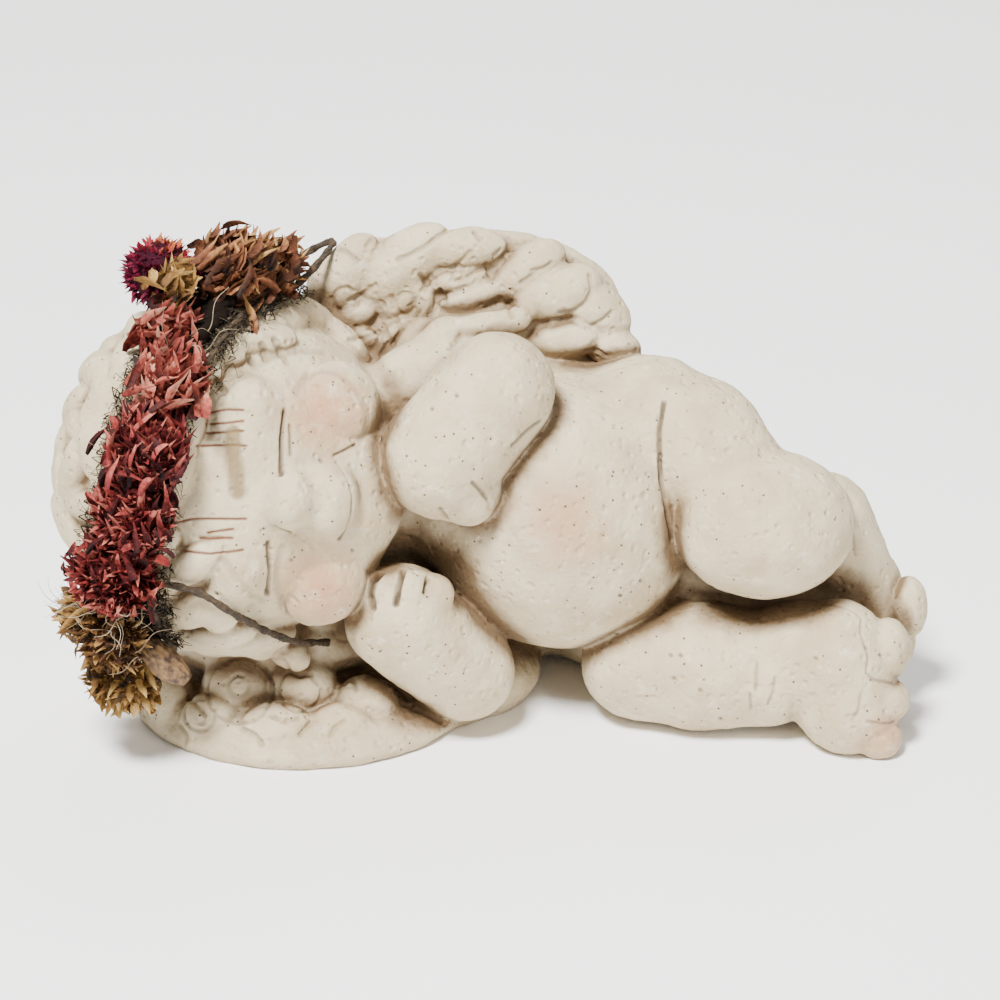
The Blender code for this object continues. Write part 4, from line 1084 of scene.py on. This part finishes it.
def strands_round(name, count, spots, spread, length, thick, lift):
    """Strands lying all ways round the spots, and clear of the hair."""
    chance = random.Random(name)
    rows = []
    for _ in range(count):
        place, out = spots[chance.randrange(len(spots))]
        shift = np.array([chance.gauss(0, spread) for _ in range(3)])
        shift -= out * (shift @ out) * 0.6
        aim = np.array([chance.gauss(0, 1) for _ in range(3)])
        aim = unit(aim - out * (aim @ out) * 0.6 + 0.35 * out)
        long = length * chance.uniform(0.5, 1.3)
        size = (thick * chance.uniform(0.7, 1.3), thick * chance.uniform(0.7, 1.3), long)
        rows.append((place + shift + lift * out, aim, unit(np.cross(aim, out) + 0.01), size, chance.random()))
    roots, aims, cups, scales, tones = map(np.array, zip(*rows))
    clear = (field(roots + 0.5 * aims * scales[:, 2:], clay) > 0.15) & (field(roots, clay) > -0.4)
    return [values[clear] for values in (roots, aims, cups, scales, tones)]


moss_green = papery_finish("dry_dark_moss", "#0c0906", "#231b12", "#463b2a", "#6b5e48")
moss_heart = heart_finish("dry_moss_bed", "#15100a")
moss_strand = strand_shape("moss_strand", bends=5.0, segments=5)
moss_spots = []
for turn in range(6, 160, 3):
    for across in (-6.4, -4.2, -1.0, 2.4, 5.4):
        moss_spots.append((on_band(turn, across + LOOP_ASIDE - 1.0, 0.8), band_direction(turn)))
moss = rooted_points("dark_moss", *strands_round("dark_moss", MOSS_STRANDS, moss_spots, spread=0.8,
                                                 length=2.2, thick=5.0, lift=0.2))
bed_route = [on_band(turn, LOOP_ASIDE, 1.4) for turn in range(8, 162, 4)]
bed = wire_object("moss_bed", in_place(bed_route), False)
grown(bed, twisted, {"Stem": 1.5 * MM, "Twist length": 0.02, "Step": 0.5 * MM, "Uneven": 0.003,
                     "Material": moss_heart})
grown(moss, rooted, {"Shape": moss_strand, "Core": bed, "Crumple": 0.0003, "Material": moss_green})
bpy.data.objects.remove(bed)
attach(moss, "root")

THREADS = 70
THREAD_SPOTS = (
    ((-59.0, -29.0, 33.0), (-0.4, -0.8, 0.3)), ((-56.0, -31.5, 31.0), (-0.2, -0.9, 0.3)),
    ((-62.0, -25.0, 30.0), (-0.7, -0.6, 0.3)), ((-54.0, -32.0, 29.0), (0.0, -1.0, 0.3)),
    ((-43.0, -17.5, 68.5), (0.1, -0.7, 0.6)), ((-49.5, -27.0, 59.0), (-0.2, -0.8, 0.5)),
)
thread_grey = papery_finish("pale_dry_threads", "#6a5a44", "#85745b", "#a3937a", "#bdb09a")
thread_shape = strand_shape("pale_thread", bends=3.4, segments=12)
spots = [(np.array(place), unit(out)) for place, out in THREAD_SPOTS]
threads = rooted_points("pale_threads", *strands_round("pale_threads", THREADS, spots, spread=2.0,
                                                       length=6.2, thick=3.0, lift=0.3))
nothing = linked("nothing", bpy.data.meshes.new("nothing"))
grown(threads, rooted, {"Shape": thread_shape, "Core": nothing, "Crumple": 0.0, "Material": thread_grey})
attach(threads, "root")

for spare in (bract, moss_strand, thread_shape, nothing):
    bpy.data.objects.remove(spare)


# The figurine stands on a plain pale floor in soft studio light, seen from a little above.
floor_mesh = bpy.data.meshes.new("floor")
floor_mesh.from_pydata([(-3, -3, 0), (3, -3, 0), (3, 3, 0), (-3, 3, 0)], [], [(0, 1, 2, 3)])
floor = linked("floor", floor_mesh)
pale, _, shader, _ = finish_of("pale_floor", 0.9)
shader["Base Color"].default_value = hex_colour("#fbfaf8")
floor_mesh.materials.append(pale)

target = Vector(in_place(VIEW_TARGET).tolist())
camera = linked("camera", bpy.data.cameras.new("camera"))
PHOTO_SIZE = 1000.0
camera.data.sensor_width = 36.0
camera.data.lens = camera.data.sensor_width * PIXELS_PER_MM * VIEW_DISTANCE / PHOTO_SIZE
camera.data.shift_x = 0.5 - TARGET_PIXEL[0] / PHOTO_SIZE
camera.data.shift_y = TARGET_PIXEL[1] / PHOTO_SIZE - 0.5
back = Vector((-LOOKING).tolist())
camera.location = target + VIEW_DISTANCE * MM * back
camera.rotation_mode = "QUATERNION"
camera.rotation_quaternion = (-back).to_track_quat("-Z", "Y")
camera.data.clip_start, camera.data.clip_end = 0.01, 10.0
bpy.context.scene.camera = camera

LIGHTS = (
    ("key light", (-0.25, -0.50, 0.95), 0.28, 38.0),
    ("fill light", (0.60, -0.80, 0.40), 0.80, 4.0),
    ("back light", (0.10, 0.60, 0.80), 0.60, 6.0),
)
for name, place, size, power in LIGHTS:
    lamp = bpy.data.lights.new(name, "AREA")
    lamp.shape = "DISK"
    lamp.size = size
    lamp.energy = power
    made = linked(name, lamp)
    made.location = place
    made.rotation_mode = "QUATERNION"
    made.rotation_quaternion = (target - Vector(place)).to_track_quat("-Z", "Y")
world = bpy.data.worlds.new("soft room")
world.use_nodes = True
sky = world.node_tree.nodes["Background"].inputs
sky["Color"].default_value = hex_colour("#ffffff")
sky["Strength"].default_value = 0.33
bpy.context.scene.world = world
